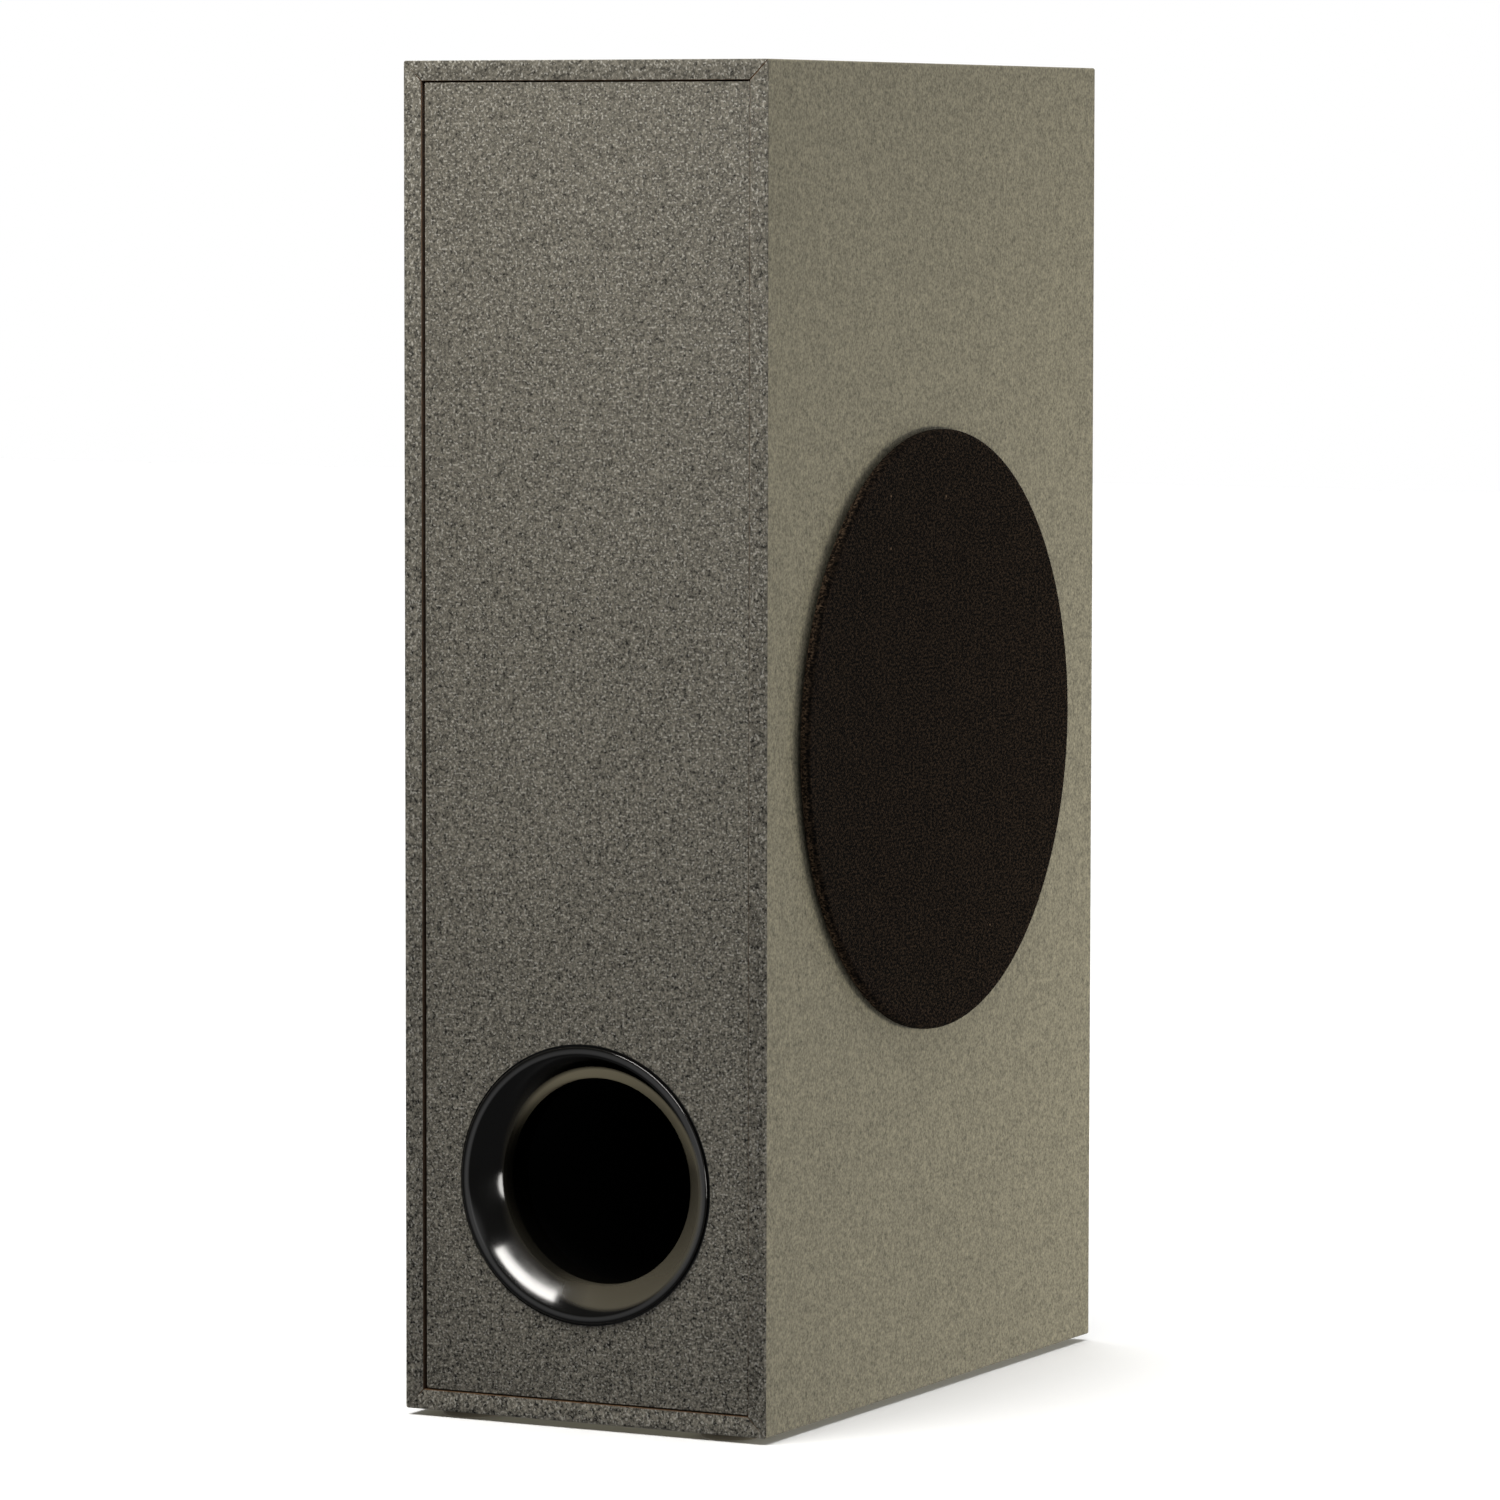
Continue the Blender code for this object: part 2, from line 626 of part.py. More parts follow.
def plate_and_seal():
    middle = (0, 0, CLEAR + SEAL_THICK / 2)
    points = rounded(PLATE_WIDTH - 0.001, PLATE_HEIGHT - 0.001, 0.003)
    seal = as_mesh(outline("amp_seal", points, SEAL_THICK, "foam", PLATE_AXIS, middle))
    size = (CUTOUT_WIDTH + 0.001, CUTOUT_HEIGHT + 0.001, 3 * PANEL)
    cut(seal, box("cut_seal", size, None, PLATE_AXIS))
    low, high = -BOARD, BOARD
    cut(seal, rods("cut_seal_screws", PLATE_SCREWS, PLATE_SHANK + CLEAR, low, high, None, PLATE_AXIS))

    middle = (0, 0, PLATE_LOW + PLATE_THICK / 2)
    points = rounded(PLATE_WIDTH, PLATE_HEIGHT, 0.003)
    plate = as_mesh(outline("amp_plate", points, PLATE_THICK, "black_steel", PLATE_AXIS, middle))
    cut(plate, rods("cut_plate_screws", PLATE_SCREWS, PLATE_SHANK + 0.0005, low, high, None, PLATE_AXIS))
    cut(plate, rods("cut_button", [BUTTON], BUTTON_RADIUS + 0.0004, low, high, None, PLATE_AXIS, 20))
    cut(plate, rods("cut_led", [LED], 0.0018, low, high, None, PLATE_AXIS))
    slot = outline("cut_inlet", slot_outline(0.0226, 0.0112), 2 * BOARD, None, PLATE_AXIS, (*INLET, 0))
    cut(plate, as_mesh(slot))

    head, top = 0.0014, PLATE_TOP + CLEAR
    profile = [(0, top + head), (0.0026, top + head), (0.0034, top + head / 2), (0.0034, top)]
    profile += [(PLATE_SHANK, top), (PLATE_SHANK, -0.0078), (0, -0.0078)]
    for number, (x, y) in enumerate(PLATE_SCREWS, 1):
        turned(f"plate_screw_{number}", profile, "black_steel", PLATE_AXIS, (x, y, 0), SMALL)


def power_inlet():
    """A figure-of-eight mains socket: a flange outside the plate and a body behind it."""
    flange_low, flange = PLATE_TOP + CLEAR, 0.0014
    floor = -0.0092
    body_low = BOARD_TOP + CLEAR
    top = flange_low + flange
    middle = (*INLET, (body_low + flange_low + 0.0005) / 2)
    depth = flange_low + 0.0005 - body_low
    body = outline("join_inlet_body", slot_outline(0.0218, 0.0104), depth, None, PLATE_AXIS, middle)
    place = (*INLET, flange_low + flange / 2)
    points = slot_outline(0.0275, 0.0140)
    socket = as_mesh(outline("power_inlet", points, flange, "matt_plastic", PLATE_AXIS, place))
    cut(socket, as_mesh(body), "UNION")
    place = (*INLET, (floor + top + PANEL) / 2)
    points = slot_outline(0.0158, 0.0078)
    recess = outline("cut_recess", points, top + PANEL - floor, None, PLATE_AXIS, place)
    cut(socket, as_mesh(recess))
    for name, side in (("inlet_pin_left", -1), ("inlet_pin_right", 1)):
        place = [(INLET[0] + side * 0.0043, INLET[1])]
        rods(name, place, 0.00115, floor + CLEAR, 0.0014, "brass", PLATE_AXIS, 10)


def button_and_led():
    """The pairing button with its retaining collar and stem, its switch, and the lamp."""
    proud, collar_top, collar_low = 0.0014, 0.0012, -0.0002
    face = PLATE_TOP + proud
    switch = 0.0020
    travel = 0.0008
    stem_end = BOARD_TOP + CLEAR + switch + CLEAR + travel
    profile = [(0, face), (BUTTON_RADIUS - 0.0004, face), (BUTTON_RADIUS, face - 0.0004)]
    profile += [(BUTTON_RADIUS, collar_top), (0.005, collar_top), (0.005, collar_low)]
    profile += [(0.002, collar_low), (0.002, stem_end), (0, stem_end)]
    turned("pairing_button", profile, "matt_plastic", PLATE_AXIS, (*BUTTON, 0), 20)
    place = (*BUTTON, BOARD_TOP + CLEAR + switch / 2)
    box("button_switch", (0.0062, 0.0062, switch), "matt_plastic", PLATE_AXIS, place)

    lens, top, low = 0.00145, PLATE_TOP + 0.0009, BOARD_TOP + CLEAR
    profile = [(0, top), (0.001, top - 0.0002), (lens, top - 0.0008), (lens, low), (0, low)]
    turned("status_led", profile, "lens", PLATE_AXIS, (*LED, 0), SMALL)


def circuit_board():
    """The board on its four standoffs, with the large parts on its inner side."""
    middle = (0, 0, (BOARD_TOP + BOARD_LOW) / 2)
    box("amp_circuit_board", (0.074, 0.156, CIRCUIT_BOARD), "circuit_green", PLATE_AXIS, middle)
    for number, (x, y) in enumerate([(a * 0.032, b * 0.072) for a in (-1, 1) for b in (-1, 1)], 1):
        low, high = BOARD_TOP + CLEAR, PLATE_LOW - CLEAR
        rods(f"board_standoff_{number}", [(x, y)], 0.0027, low, high, "brass", PLATE_AXIS, 8)

    can = 0.003
    place = (0.008, 0.028, BOARD_TOP + CLEAR + can / 2)
    box("wireless_module", (0.024, 0.030, can), "steel", PLATE_AXIS, place, 0.0004)

    under = BOARD_LOW - CLEAR
    base, fin, fins, pitch, reach, length = 0.003, 0.0016, 7, 0.008, 0.025, 0.036
    half = (fins - 1) * pitch / 2 + fin / 2
    comb = [(-half, 0), (-half, -reach)]
    for i in range(fins):
        x = -half + i * pitch
        comb += [(x + fin, -reach)]
        if i < fins - 1:
            comb += [(x + fin, -base), (x + pitch, -base), (x + pitch, -reach)]
    comb += [(half, 0)]
    place = (0, 0.025, under)
    upright = (math.radians(90), 0, 0)
    outline("amp_heatsink", comb, length, "aluminium", PLATE_AXIS, place, upright)

    core = (0.030, 0.011, 0.022)
    bobbin = (0.021, 0.026, 0.017)
    place = (0.014, -0.022, under - core[2] / 2)
    transformer = box("power_transformer", core, "ferrite", PLATE_AXIS, place)
    cut(transformer, box("join_bobbin", bobbin, None, PLATE_AXIS, place), "UNION")

    can, tall, edge = 0.008, 0.025, 0.001
    profile = [(0, under), (can, under), (can, under - tall + edge), (can - edge, under - tall)]
    profile += [(0, under - tall)]
    for name, x in (("capacitor_left", 0.014), ("capacitor_right", -0.006)):
        turned(name, profile, "black_sleeve", PLATE_AXIS, (x, -0.053, 0), 20)


def speaker_wires():
    """Two insulated wires from the board's inner side to the woofer's terminal strip."""
    strip = -DRIVER_AHEAD + STRIP_OUT + STRIP_THICK / 2 + 0.0012
    board = REAR - REAR_RECESS + BOARD_LOW - 2 * CLEAR
    red = [
        (0.0400, strip, 0.1970),
        (0.0410, 0.0690, 0.1930),
        (0.0440, 0.0760, 0.1760),
        (0.0430, 0.0800, 0.1500),
        (0.0360, 0.0820, 0.1250),
        (0.0260, 0.0830, 0.1120),
        (0.0240, board - 0.0030, 0.1100),
        (0.0240, board, 0.1100),
    ]
    black = [
        (0.0450, strip, 0.2060),
        (0.0470, 0.0700, 0.2030),
        (0.0485, 0.0770, 0.1800),
        (0.0480, 0.0820, 0.1500),
        (0.0420, 0.0840, 0.1220),
        (0.0330, 0.0840, 0.1040),
        (0.0300, board - 0.0030, 0.1020),
        (0.0300, board, 0.1020),
    ]
    wire("speaker_wire_red", red, 0.0009, 0.005, "red_sleeve")
    wire("speaker_wire_black", black, 0.0009, 0.005, "black_sleeve")


wrap_boards()
panels()
feet()
basket()
driver_gasket()
surround()
cone()
dust_cap()
spider()
voice_coil()
motor()
terminals()
driver_screws()
grille()
port()
plate_and_seal()
power_inlet()
button_and_led()
circuit_board()
speaker_wires()
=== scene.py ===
"""Looks of the slim upright subwoofer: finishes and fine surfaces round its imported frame."""

import json
import math

import bmesh
import bpy
import numpy as np
from mathutils import Matrix, Vector


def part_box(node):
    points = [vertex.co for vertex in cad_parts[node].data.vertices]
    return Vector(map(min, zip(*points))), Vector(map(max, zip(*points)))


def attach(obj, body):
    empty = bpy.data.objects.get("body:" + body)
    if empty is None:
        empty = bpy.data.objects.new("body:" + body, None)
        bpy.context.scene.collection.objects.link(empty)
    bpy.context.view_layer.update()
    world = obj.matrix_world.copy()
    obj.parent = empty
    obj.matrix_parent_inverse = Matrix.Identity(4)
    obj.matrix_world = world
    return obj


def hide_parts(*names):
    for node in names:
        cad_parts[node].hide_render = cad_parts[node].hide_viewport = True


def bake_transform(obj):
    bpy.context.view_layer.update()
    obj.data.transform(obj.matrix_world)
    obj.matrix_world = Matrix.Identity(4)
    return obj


bl_info = {
    "name": "Slim Subwoofer Looks",
    "version": (1, 0, 0),
    "blender": (4, 5, 0),
    "location": "3D View > Sidebar > Subwoofer",
    "description": "Builds the foil, cloth, mouldings and metalwork of a slim subwoofer",
    "category": "Object",
}

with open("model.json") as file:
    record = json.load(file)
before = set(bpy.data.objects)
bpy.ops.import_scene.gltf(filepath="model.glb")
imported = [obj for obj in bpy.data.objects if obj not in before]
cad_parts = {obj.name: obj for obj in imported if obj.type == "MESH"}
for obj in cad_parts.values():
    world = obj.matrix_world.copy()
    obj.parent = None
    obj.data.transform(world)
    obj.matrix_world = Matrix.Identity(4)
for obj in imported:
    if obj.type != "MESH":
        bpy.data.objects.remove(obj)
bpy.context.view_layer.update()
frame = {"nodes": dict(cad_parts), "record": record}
NODES = frame["nodes"]

# --- Places read from the frame -------------------------------------------------------

MM = 0.001
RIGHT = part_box("right_board")[1].x
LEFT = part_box("left_board")[0].x
FRONT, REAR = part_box("top_board")[0].y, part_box("top_board")[1].y
BASE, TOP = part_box("bottom_board")[0].z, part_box("top_board")[1].z
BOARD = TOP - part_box("top_board")[0].z
MIDDLE = (BASE + TOP) / 2


def middle(node):
    low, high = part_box(node)
    return (low + high) / 2


DRIVER = Vector((RIGHT, middle("grille_cloth").y, middle("grille_cloth").z))
PORT = Vector((0.0, FRONT, middle("port_flare").z))
PANEL_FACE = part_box("rear_panel")[1].y
PLATE = Vector((0.0, PANEL_FACE, middle("amp_plate").z))

# Each face's own axes: to the right and up as seen from outside, then out of the face.
TO_FRONT = (Vector((1, 0, 0)), Vector((0, 0, 1)), Vector((0, -1, 0)))
TO_RIGHT = (Vector((0, 1, 0)), Vector((0, 0, 1)), Vector((1, 0, 0)))
TO_REAR = (Vector((-1, 0, 0)), Vector((0, 0, 1)), Vector((0, 1, 0)))
TO_TOP = (Vector((1, 0, 0)), Vector((0, 1, 0)), Vector((0, 0, 1)))


# --- Settings that a user would change ------------------------------------------------


def length(name, about, default):
    return bpy.props.FloatProperty(
        name=name, description=about, default=default, min=0.0, unit="LENGTH", precision=5
    )


def colour(name, about, default):
    return bpy.props.FloatVectorProperty(
        name=name, description=about, default=default, size=3, min=0.0, max=1.0, subtype="COLOR"
    )


def amount(name, about, default, unit="NONE"):
    return bpy.props.FloatProperty(name=name, description=about, default=default, unit=unit)


class SubwooferCabinetSettings(bpy.types.PropertyGroup):
    fold: length("Fold radius", "Radius of the wrap's folded edges", 0.7 * MM)
    edge: length("Edge radius", "Rounding round the front and rear edges of the boards", 0.25 * MM)
    panel_edge: length("Panel edge", "Rounding round the front panel", 0.3 * MM)
    joint_left: length("Left joint", "Gap at the left of the front panel", 0.85 * MM)
    joint_right: length("Right joint", "Gap at the right of the front panel", 0.12 * MM)
    joint_top: length("Top joint", "Gap above the front panel", 0.45 * MM)
    joint_bottom: length("Bottom joint", "Gap below the front panel", 0.35 * MM)
    # The side and front foils are one foil: the front's copy is darker and less yellow, as painted shade for
    # the dimmer light on the front.
    foil: colour("Side foil", "Foil on the sides, top and bottom", (0.190, 0.174, 0.122))
    front_foil: colour("Front foil", "Foil on the front and on the boards' edges", (0.116, 0.108, 0.088))
    fleck: colour("Fleck", "Mica flecks in the foil", (0.62, 0.60, 0.54))


class SubwooferGrilleSettings(bpy.types.PropertyGroup):
    roll: length("Rolled edge", "Radius of the cloth over the ring's edge", 1.7 * MM)
    cloth: length("Cloth thickness", "Thickness of the acoustic cloth", 0.5 * MM)
    pitch: length("Thread pitch", "Spacing of the cloth's threads", 0.62 * MM)
    tone: colour("Cloth colour", "Colour of the acoustic cloth", (0.0082, 0.0054, 0.0034))


class SubwooferPortSettings(bpy.types.PropertyGroup):
    mouth: length("Mouth radius", "Radius where the flare meets its rim", 39.4 * MM)
    throat: length("Throat radius", "Radius of the flare's inner end", 30.7 * MM)
    depth: length("Flare depth", "Depth of the flared part", 12.0 * MM)
    lip: length("Lip", "How far the rim stands out of the front", 1.0 * MM)


class SubwooferStageSettings(bpy.types.PropertyGroup):
    focal: amount("Focal length", "Camera lens for a 36 mm sensor", 181.07, "CAMERA")
    ambient: amount("Ambient light", "Strength of the studio's surroundings", 0.15)
    overhead: amount("Overhead light", "Strength of the light straight above", 3.5)
    key: amount("Key light", "Power of the soft box above the front", 5.0, "POWER")
    gloss: amount("Gloss light", "Power of the box that shows in gloss", 4.2, "POWER")
    glint: amount("Glint light", "Power of the small box at the right", 1.1, "POWER")
    side: amount("Side light", "Power of the soft box at the grille's side", 4.5, "POWER")
    floor: colour("Floor", "Colour of the plain floor", (0.86, 0.86, 0.86))


def settings():
    return bpy.context.scene.subwoofer


def part_settings(kind, name, about):
    return bpy.props.PointerProperty(type=kind, name=name, description=about)


class SubwooferSettings(bpy.types.PropertyGroup):
    cabinet: part_settings(SubwooferCabinetSettings, "Cabinet", "Sizes and colours of the box")
    grille: part_settings(SubwooferGrilleSettings, "Grille", "Sizes and colour of the grille")
    port: part_settings(SubwooferPortSettings, "Port", "Sizes of the port's flare")
    stage: part_settings(SubwooferStageSettings, "Stage", "Camera, lights and floor")


# --- Surfaces -------------------------------------------------------------------------


def surface(name, rows, closed, capped=False, sharp=30):
    """A mesh from rows of points, shape (rows, columns, 3): quads join each row to the next.

    The columns always close on themselves. With closed the last row joins the first, and
    with capped a flat face covers the first and the last row. Points that coincide, as at a
    pole, are merged, and the faces are turned outwards.
    """
    rows = np.asarray(rows, float)
    count, across = rows.shape[:2]
    index = np.arange(count * across).reshape(count, across)
    here = index if closed else index[:-1]
    after = np.roll(index, -1, axis=0) if closed else index[1:]
    quads = np.stack([here, np.roll(here, -1, 1), np.roll(after, -1, 1), after], -1).reshape(-1, 4)
    faces = quads.tolist()
    if capped:
        faces += [index[0, ::-1].tolist(), index[-1].tolist()]
    mesh = bpy.data.meshes.new(name)
    mesh.from_pydata(rows.reshape(-1, 3).tolist(), [], faces)
    shape = bmesh.new()
    shape.from_mesh(mesh)
    bmesh.ops.remove_doubles(shape, verts=shape.verts, dist=1e-7)
    bmesh.ops.recalc_face_normals(shape, faces=shape.faces)
    shape.to_mesh(mesh)
    shape.free()
    mesh.shade_smooth()
    mesh.set_sharp_from_angle(angle=math.radians(sharp))
    piece = bpy.data.objects.new(name, mesh)
    bpy.context.scene.collection.objects.link(piece)
    return piece


def placed(points, origin, axes):
    """Local (x, y, z) points in the row frame, from a face's origin and axes."""
    basis = np.array([list(axis) for axis in axes])
    return np.asarray(points, float) @ basis + np.array(list(origin))


def turned(name, profile, origin, axes, sides=128, sharp=30):
    """A turned piece: radius r(v) and height h(v) of the profile, at the angle u.

    P(u, v) = origin + r(v) (cos u, sin u) + h(v) along the face's outward axis. A profile
    from the axis to the axis closes at its poles, and any other closes on itself.
    """
    profile = np.asarray(profile, float)
    turn = np.linspace(0, 2 * np.pi, sides, endpoint=False)
    points = np.empty((len(profile), sides, 3))
    points[..., 0] = profile[:, :1] * np.cos(turn)
    points[..., 1] = profile[:, :1] * np.sin(turn)
    points[..., 2] = profile[:, 1:]
    return surface(name, placed(points, origin, axes), closed=profile[0, 0] > 0, sharp=sharp)


def arc(centre, radii, start, end, count):
    """Points on an ellipse about the centre, from one angle to the other in degrees."""
    turn = np.radians(np.linspace(start, end, count))
    return np.stack([centre[0] + radii[0] * np.cos(turn), centre[1] + radii[1] * np.sin(turn)], 1)


def rounded_outline(width, height, radius, steps=8):
    """A rectangle about the origin with quarter-round corners, as (x, y) points."""
    corners = []
    for x, y, start in ((1, 1, 0), (-1, 1, 90), (-1, -1, 180), (1, -1, 270)):
        centre = (x * (width / 2 - radius), y * (height / 2 - radius))
        corners.append(arc(centre, (radius, radius), start, start + 90, steps))
    return np.concatenate(corners)


def through(name, outlines, origin, axes, sharp):
    """A surface through flat outlines in order, each (points, z), with flat ends."""
    rows = [np.column_stack([flat, np.full(len(flat), z)]) for flat, z in outlines]
    return surface(name, placed(rows, origin, axes), closed=False, capped=True, sharp=sharp)


def stacked(name, levels, origin, axes, steps=8, sharp=30):
    """Rounded rectangles stacked out of a face: each level is (width, height, radius, z)."""
    outlines = [(rounded_outline(*size, steps), z) for *size, z in levels]
    return through(name, outlines, origin, axes, sharp)


def eased(width, height, radius, low, high, edge, steps=3):
    """Levels of a plate from low to high whose rim is rounded at both faces."""
    turn = np.radians(np.linspace(0, 90, steps + 1))
    inset, rise = edge * (1 - np.sin(turn)), edge * (1 - np.cos(turn))
    lower = [(width - 2 * i, height - 2 * i, radius - i, low + r) for i, r in zip(inset, rise)]
    upper = [(width - 2 * i, height - 2 * i, radius - i, high - r) for i, r in zip(inset, rise)]
    return lower + upper[::-1]


def carve(piece, tools, operation="DIFFERENCE", sharp=30):
    """Cut the tools out of the piece, or join them to it, and remove the tools."""
    for tool in tools:
        boolean = piece.modifiers.new("carve", "BOOLEAN")
        boolean.operation = operation
        boolean.solver = "EXACT"
        boolean.object = tool
        bpy.context.view_layer.update()
        shown = piece.evaluated_get(bpy.context.evaluated_depsgraph_get())
        mesh = bpy.data.meshes.new_from_object(shown)
        piece.modifiers.clear()
        piece.data = mesh
        bpy.data.objects.remove(tool)
    piece.data.set_sharp_from_angle(angle=math.radians(sharp))


def tool_rod(origin, axes, place, radius, low, high, sides=48):
    """A round cutter from low to high at a place on a face."""
    centre = Vector(placed([(*place, 0)], origin, axes)[0])
    profile = [(0, high), (radius, high), (radius, low), (0, low)]
    return turned("tool", profile, centre, axes, sides)


def wear(piece, body, slot, *replaced):
    """Ride the piece on its body and hide the CAD nodes it stands for; the slot is not used."""
    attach(piece, body)
    if replaced:
        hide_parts(*replaced)
    return piece


# --- Node helpers ---------------------------------------------------------------------


def put(tree, kind, values=None, **attributes):
    """A node of that kind with its attributes and the given input values."""
    node = tree.nodes.new(kind)
    for name, value in attributes.items():
        setattr(node, name, value)
    for name, value in (values or {}).items():
        node.inputs[name].default_value = value
    return node


def join(tree, *pairs):
    for source, target in pairs:
        tree.links.new(source, target)


def math_node(tree, operation, first, second=None):
    """A Math node's output; each input is a socket or a number."""
    node = put(tree, "ShaderNodeMath", operation=operation)
    for socket, value in zip(node.inputs, (first, second)):
        if isinstance(value, (int, float)):
            socket.default_value = value
        elif value is not None:
            tree.links.new(value, socket)
    return node.outputs[0]


def plus(tree, first, second):
    return math_node(tree, "ADD", first, second)


def minus(tree, first, second):
    return math_node(tree, "SUBTRACT", first, second)


def times(tree, first, second):
    return math_node(tree, "MULTIPLY", first, second)


def scaled(tree, vector, factor):
    """A colour or vector times a socket's value."""
    node = put(tree, "ShaderNodeVectorMath", operation="SCALE")
    join(tree, (vector, node.inputs[0]), (factor, node.inputs["Scale"]))
    return node.outputs[0]


def stretch(tree, value, low, high, to_low=0.0, to_high=1.0):
    """The value carried from one range to another and held inside it."""
    node = put(tree, "ShaderNodeMapRange")
    for name, number in (("From Min", low), ("From Max", high), ("To Min", to_low), ("To Max", to_high)):
        node.inputs[name].default_value = number
    tree.links.new(value, node.inputs["Value"])
    return node.outputs["Result"]


def mixed(tree, share, first, second):
    """A colour mix's output; the colours are sockets or (r, g, b)."""
    node = put(tree, "ShaderNodeMix", data_type="RGBA")
    for socket, value in ((node.inputs[0], share), (node.inputs[6], first), (node.inputs[7], second)):
        if isinstance(value, (int, float)):
            socket.default_value = value
        elif isinstance(value, (tuple, list)):
            socket.default_value = (*value[:3], 1.0)
        else:
            tree.links.new(value, socket)
    return node.outputs[2]


def noise(tree, place, scale, detail=2.0, roughness=0.5):
    node = put(tree, "ShaderNodeTexNoise", {"Detail": detail, "Roughness": roughness})
    join(tree, (place, node.inputs["Vector"]))
    if isinstance(scale, (int, float)):
        node.inputs["Scale"].default_value = scale
    else:
        join(tree, (scale, node.inputs["Scale"]))
    return node.outputs["Fac"]


FLOAT, COLOUR, VECTOR = "NodeSocketFloat", "NodeSocketColor", "NodeSocketVector"


def new_group(name, inputs):
    """An empty effect group, whose inputs are Place and then the given defaults by name.

    It gives a colour, a roughness and a height.
    """
    tree = bpy.data.node_groups.new(name, "ShaderNodeTree")
    tree.interface.new_socket(name="Place", in_out="INPUT", socket_type=VECTOR)
    for label, default in inputs.items():
        kind = FLOAT if isinstance(default, float) else COLOUR
        socket = tree.interface.new_socket(name=label, in_out="INPUT", socket_type=kind)
        socket.default_value = default
    for label, kind in (("Color", COLOUR), ("Roughness", FLOAT), ("Height", FLOAT)):
        tree.interface.new_socket(name=label, in_out="OUTPUT", socket_type=kind)
    return tree, tree.nodes.new("NodeGroupInput").outputs, tree.nodes.new("NodeGroupOutput").inputs


def grained_foil_group():
    """Printed foil: grain of two sizes, mica flecks and slow cloudy changes."""
    tree, given, out = new_group(
        "grained_foil",
        {
            "Tone": (0.15, 0.14, 0.11, 1),
            "Fleck": (0.6, 0.6, 0.55, 1),
            "Contrast": 0.5,
            "Fleck Share": 0.3,
            "Grain": 2300.0,
            "Cloud": 0.1,
        },
    )
    place, grain = given["Place"], given["Grain"]
    fine = noise(tree, place, grain, 2.0, 0.6)
    coarse = noise(tree, place, times(tree, grain, 0.42), 1.0, 0.5)
    both = plus(tree, times(tree, fine, 0.7), times(tree, coarse, 0.3))
    swing = times(tree, minus(tree, both, 0.5), given["Contrast"])
    cloud = minus(tree, noise(tree, place, 11.0, 3.0, 0.6), 0.5)
    swing = plus(tree, swing, times(tree, cloud, given["Cloud"]))
    toned = scaled(tree, given["Tone"], plus(tree, swing, 1.0))
    spark = noise(tree, place, times(tree, grain, 1.15), 0.0, 0.5)
    spark = stretch(tree, spark, 0.60, 0.74)
    spark = times(tree, spark, given["Fleck Share"])
    join(
        tree,
        (mixed(tree, spark, toned, given["Fleck"]), out["Color"]),
        (stretch(tree, fine, 0.3, 0.7, 0.62, 0.48), out["Roughness"]),
        (both, out["Height"]),
    )
    return tree


def woven_group():
    """Plain weave along Y and Z, with uneven fuzz, thicker stretches of thread and lint."""
    tree, given, out = new_group(
        "woven_cloth", {"Tone": (0.013, 0.01, 0.008, 1), "Pitch": 0.0006, "Fuzz": 0.5}
    )
    place = given["Place"]
    parts = put(tree, "ShaderNodeSeparateXYZ")
    drift = put(tree, "ShaderNodeTexNoise", {"Scale": 90.0, "Detail": 1.0})
    wobble = put(tree, "ShaderNodeVectorMath", {"Scale": 0.0006}, operation="SCALE")
    moved = put(tree, "ShaderNodeVectorMath", operation="ADD")
    join(
        tree,
        (place, drift.inputs["Vector"]),
        (drift.outputs["Color"], wobble.inputs[0]),
        (place, moved.inputs[0]),
        (wobble.outputs[0], moved.inputs[1]),
        (moved.outputs[0], parts.inputs[0]),
    )
    waves = []
    for axis in ("Y", "Z"):
        turns = math_node(tree, "DIVIDE", parts.outputs[axis], given["Pitch"])
        waves.append(math_node(tree, "SINE", times(tree, turns, math.pi)))
    threads = stretch(tree, times(tree, *waves), -1.0, 1.0)
    along = put(tree, "ShaderNodeVectorMath", operation="MULTIPLY")
    along.inputs[1].default_value = (1.0, 0.6, 1.15)
    join(tree, (place, along.inputs[0]))
    fuzz = noise(tree, along.outputs[0], 1250.0, 3.0, 0.65)
    slub = noise(tree, place, 120.0, 3.0, 0.65)
    shade = plus(tree, times(tree, threads, 0.4), 0.8)
    lift = times(tree, minus(tree, fuzz, 0.5), given["Fuzz"])
    shade = plus(tree, shade, times(tree, lift, 32.0))
    shade = plus(tree, shade, stretch(tree, slub, 0.3, 0.7, -0.25, 0.25))
    shade = math_node(tree, "MAXIMUM", shade, 0.15)
    # Lint: about a quarter of the cells of the face, on its Y and Z, hold a pale speck.
    lint = put(tree, "ShaderNodeTexVoronoi", {"Scale": 30.0}, voronoi_dimensions="2D")
    pick = put(tree, "ShaderNodeSeparateColor")
    sides = put(tree, "ShaderNodeSeparateXYZ")
    spread = put(tree, "ShaderNodeCombineXYZ")
    join(
        tree,
        (place, sides.inputs[0]),
        (sides.outputs["Y"], spread.inputs["X"]),
        (sides.outputs["Z"], spread.inputs["Y"]),
        (spread.outputs[0], lint.inputs["Vector"]),
        (lint.outputs["Color"], pick.inputs[0]),
    )
    speck = stretch(tree, lint.outputs["Distance"], 0.008, 0.014, 12.0, 0.0)
    speck = times(tree, speck, stretch(tree, pick.outputs[0], 0.72, 0.74))
    shade = plus(tree, shade, speck)
    join(
        tree,
        (scaled(tree, given["Tone"], shade), out["Color"]),
        (stretch(tree, fuzz, 0.2, 0.8, 0.85, 1.0), out["Roughness"]),
        (plus(tree, threads, lift), out["Height"]),
    )
    return tree


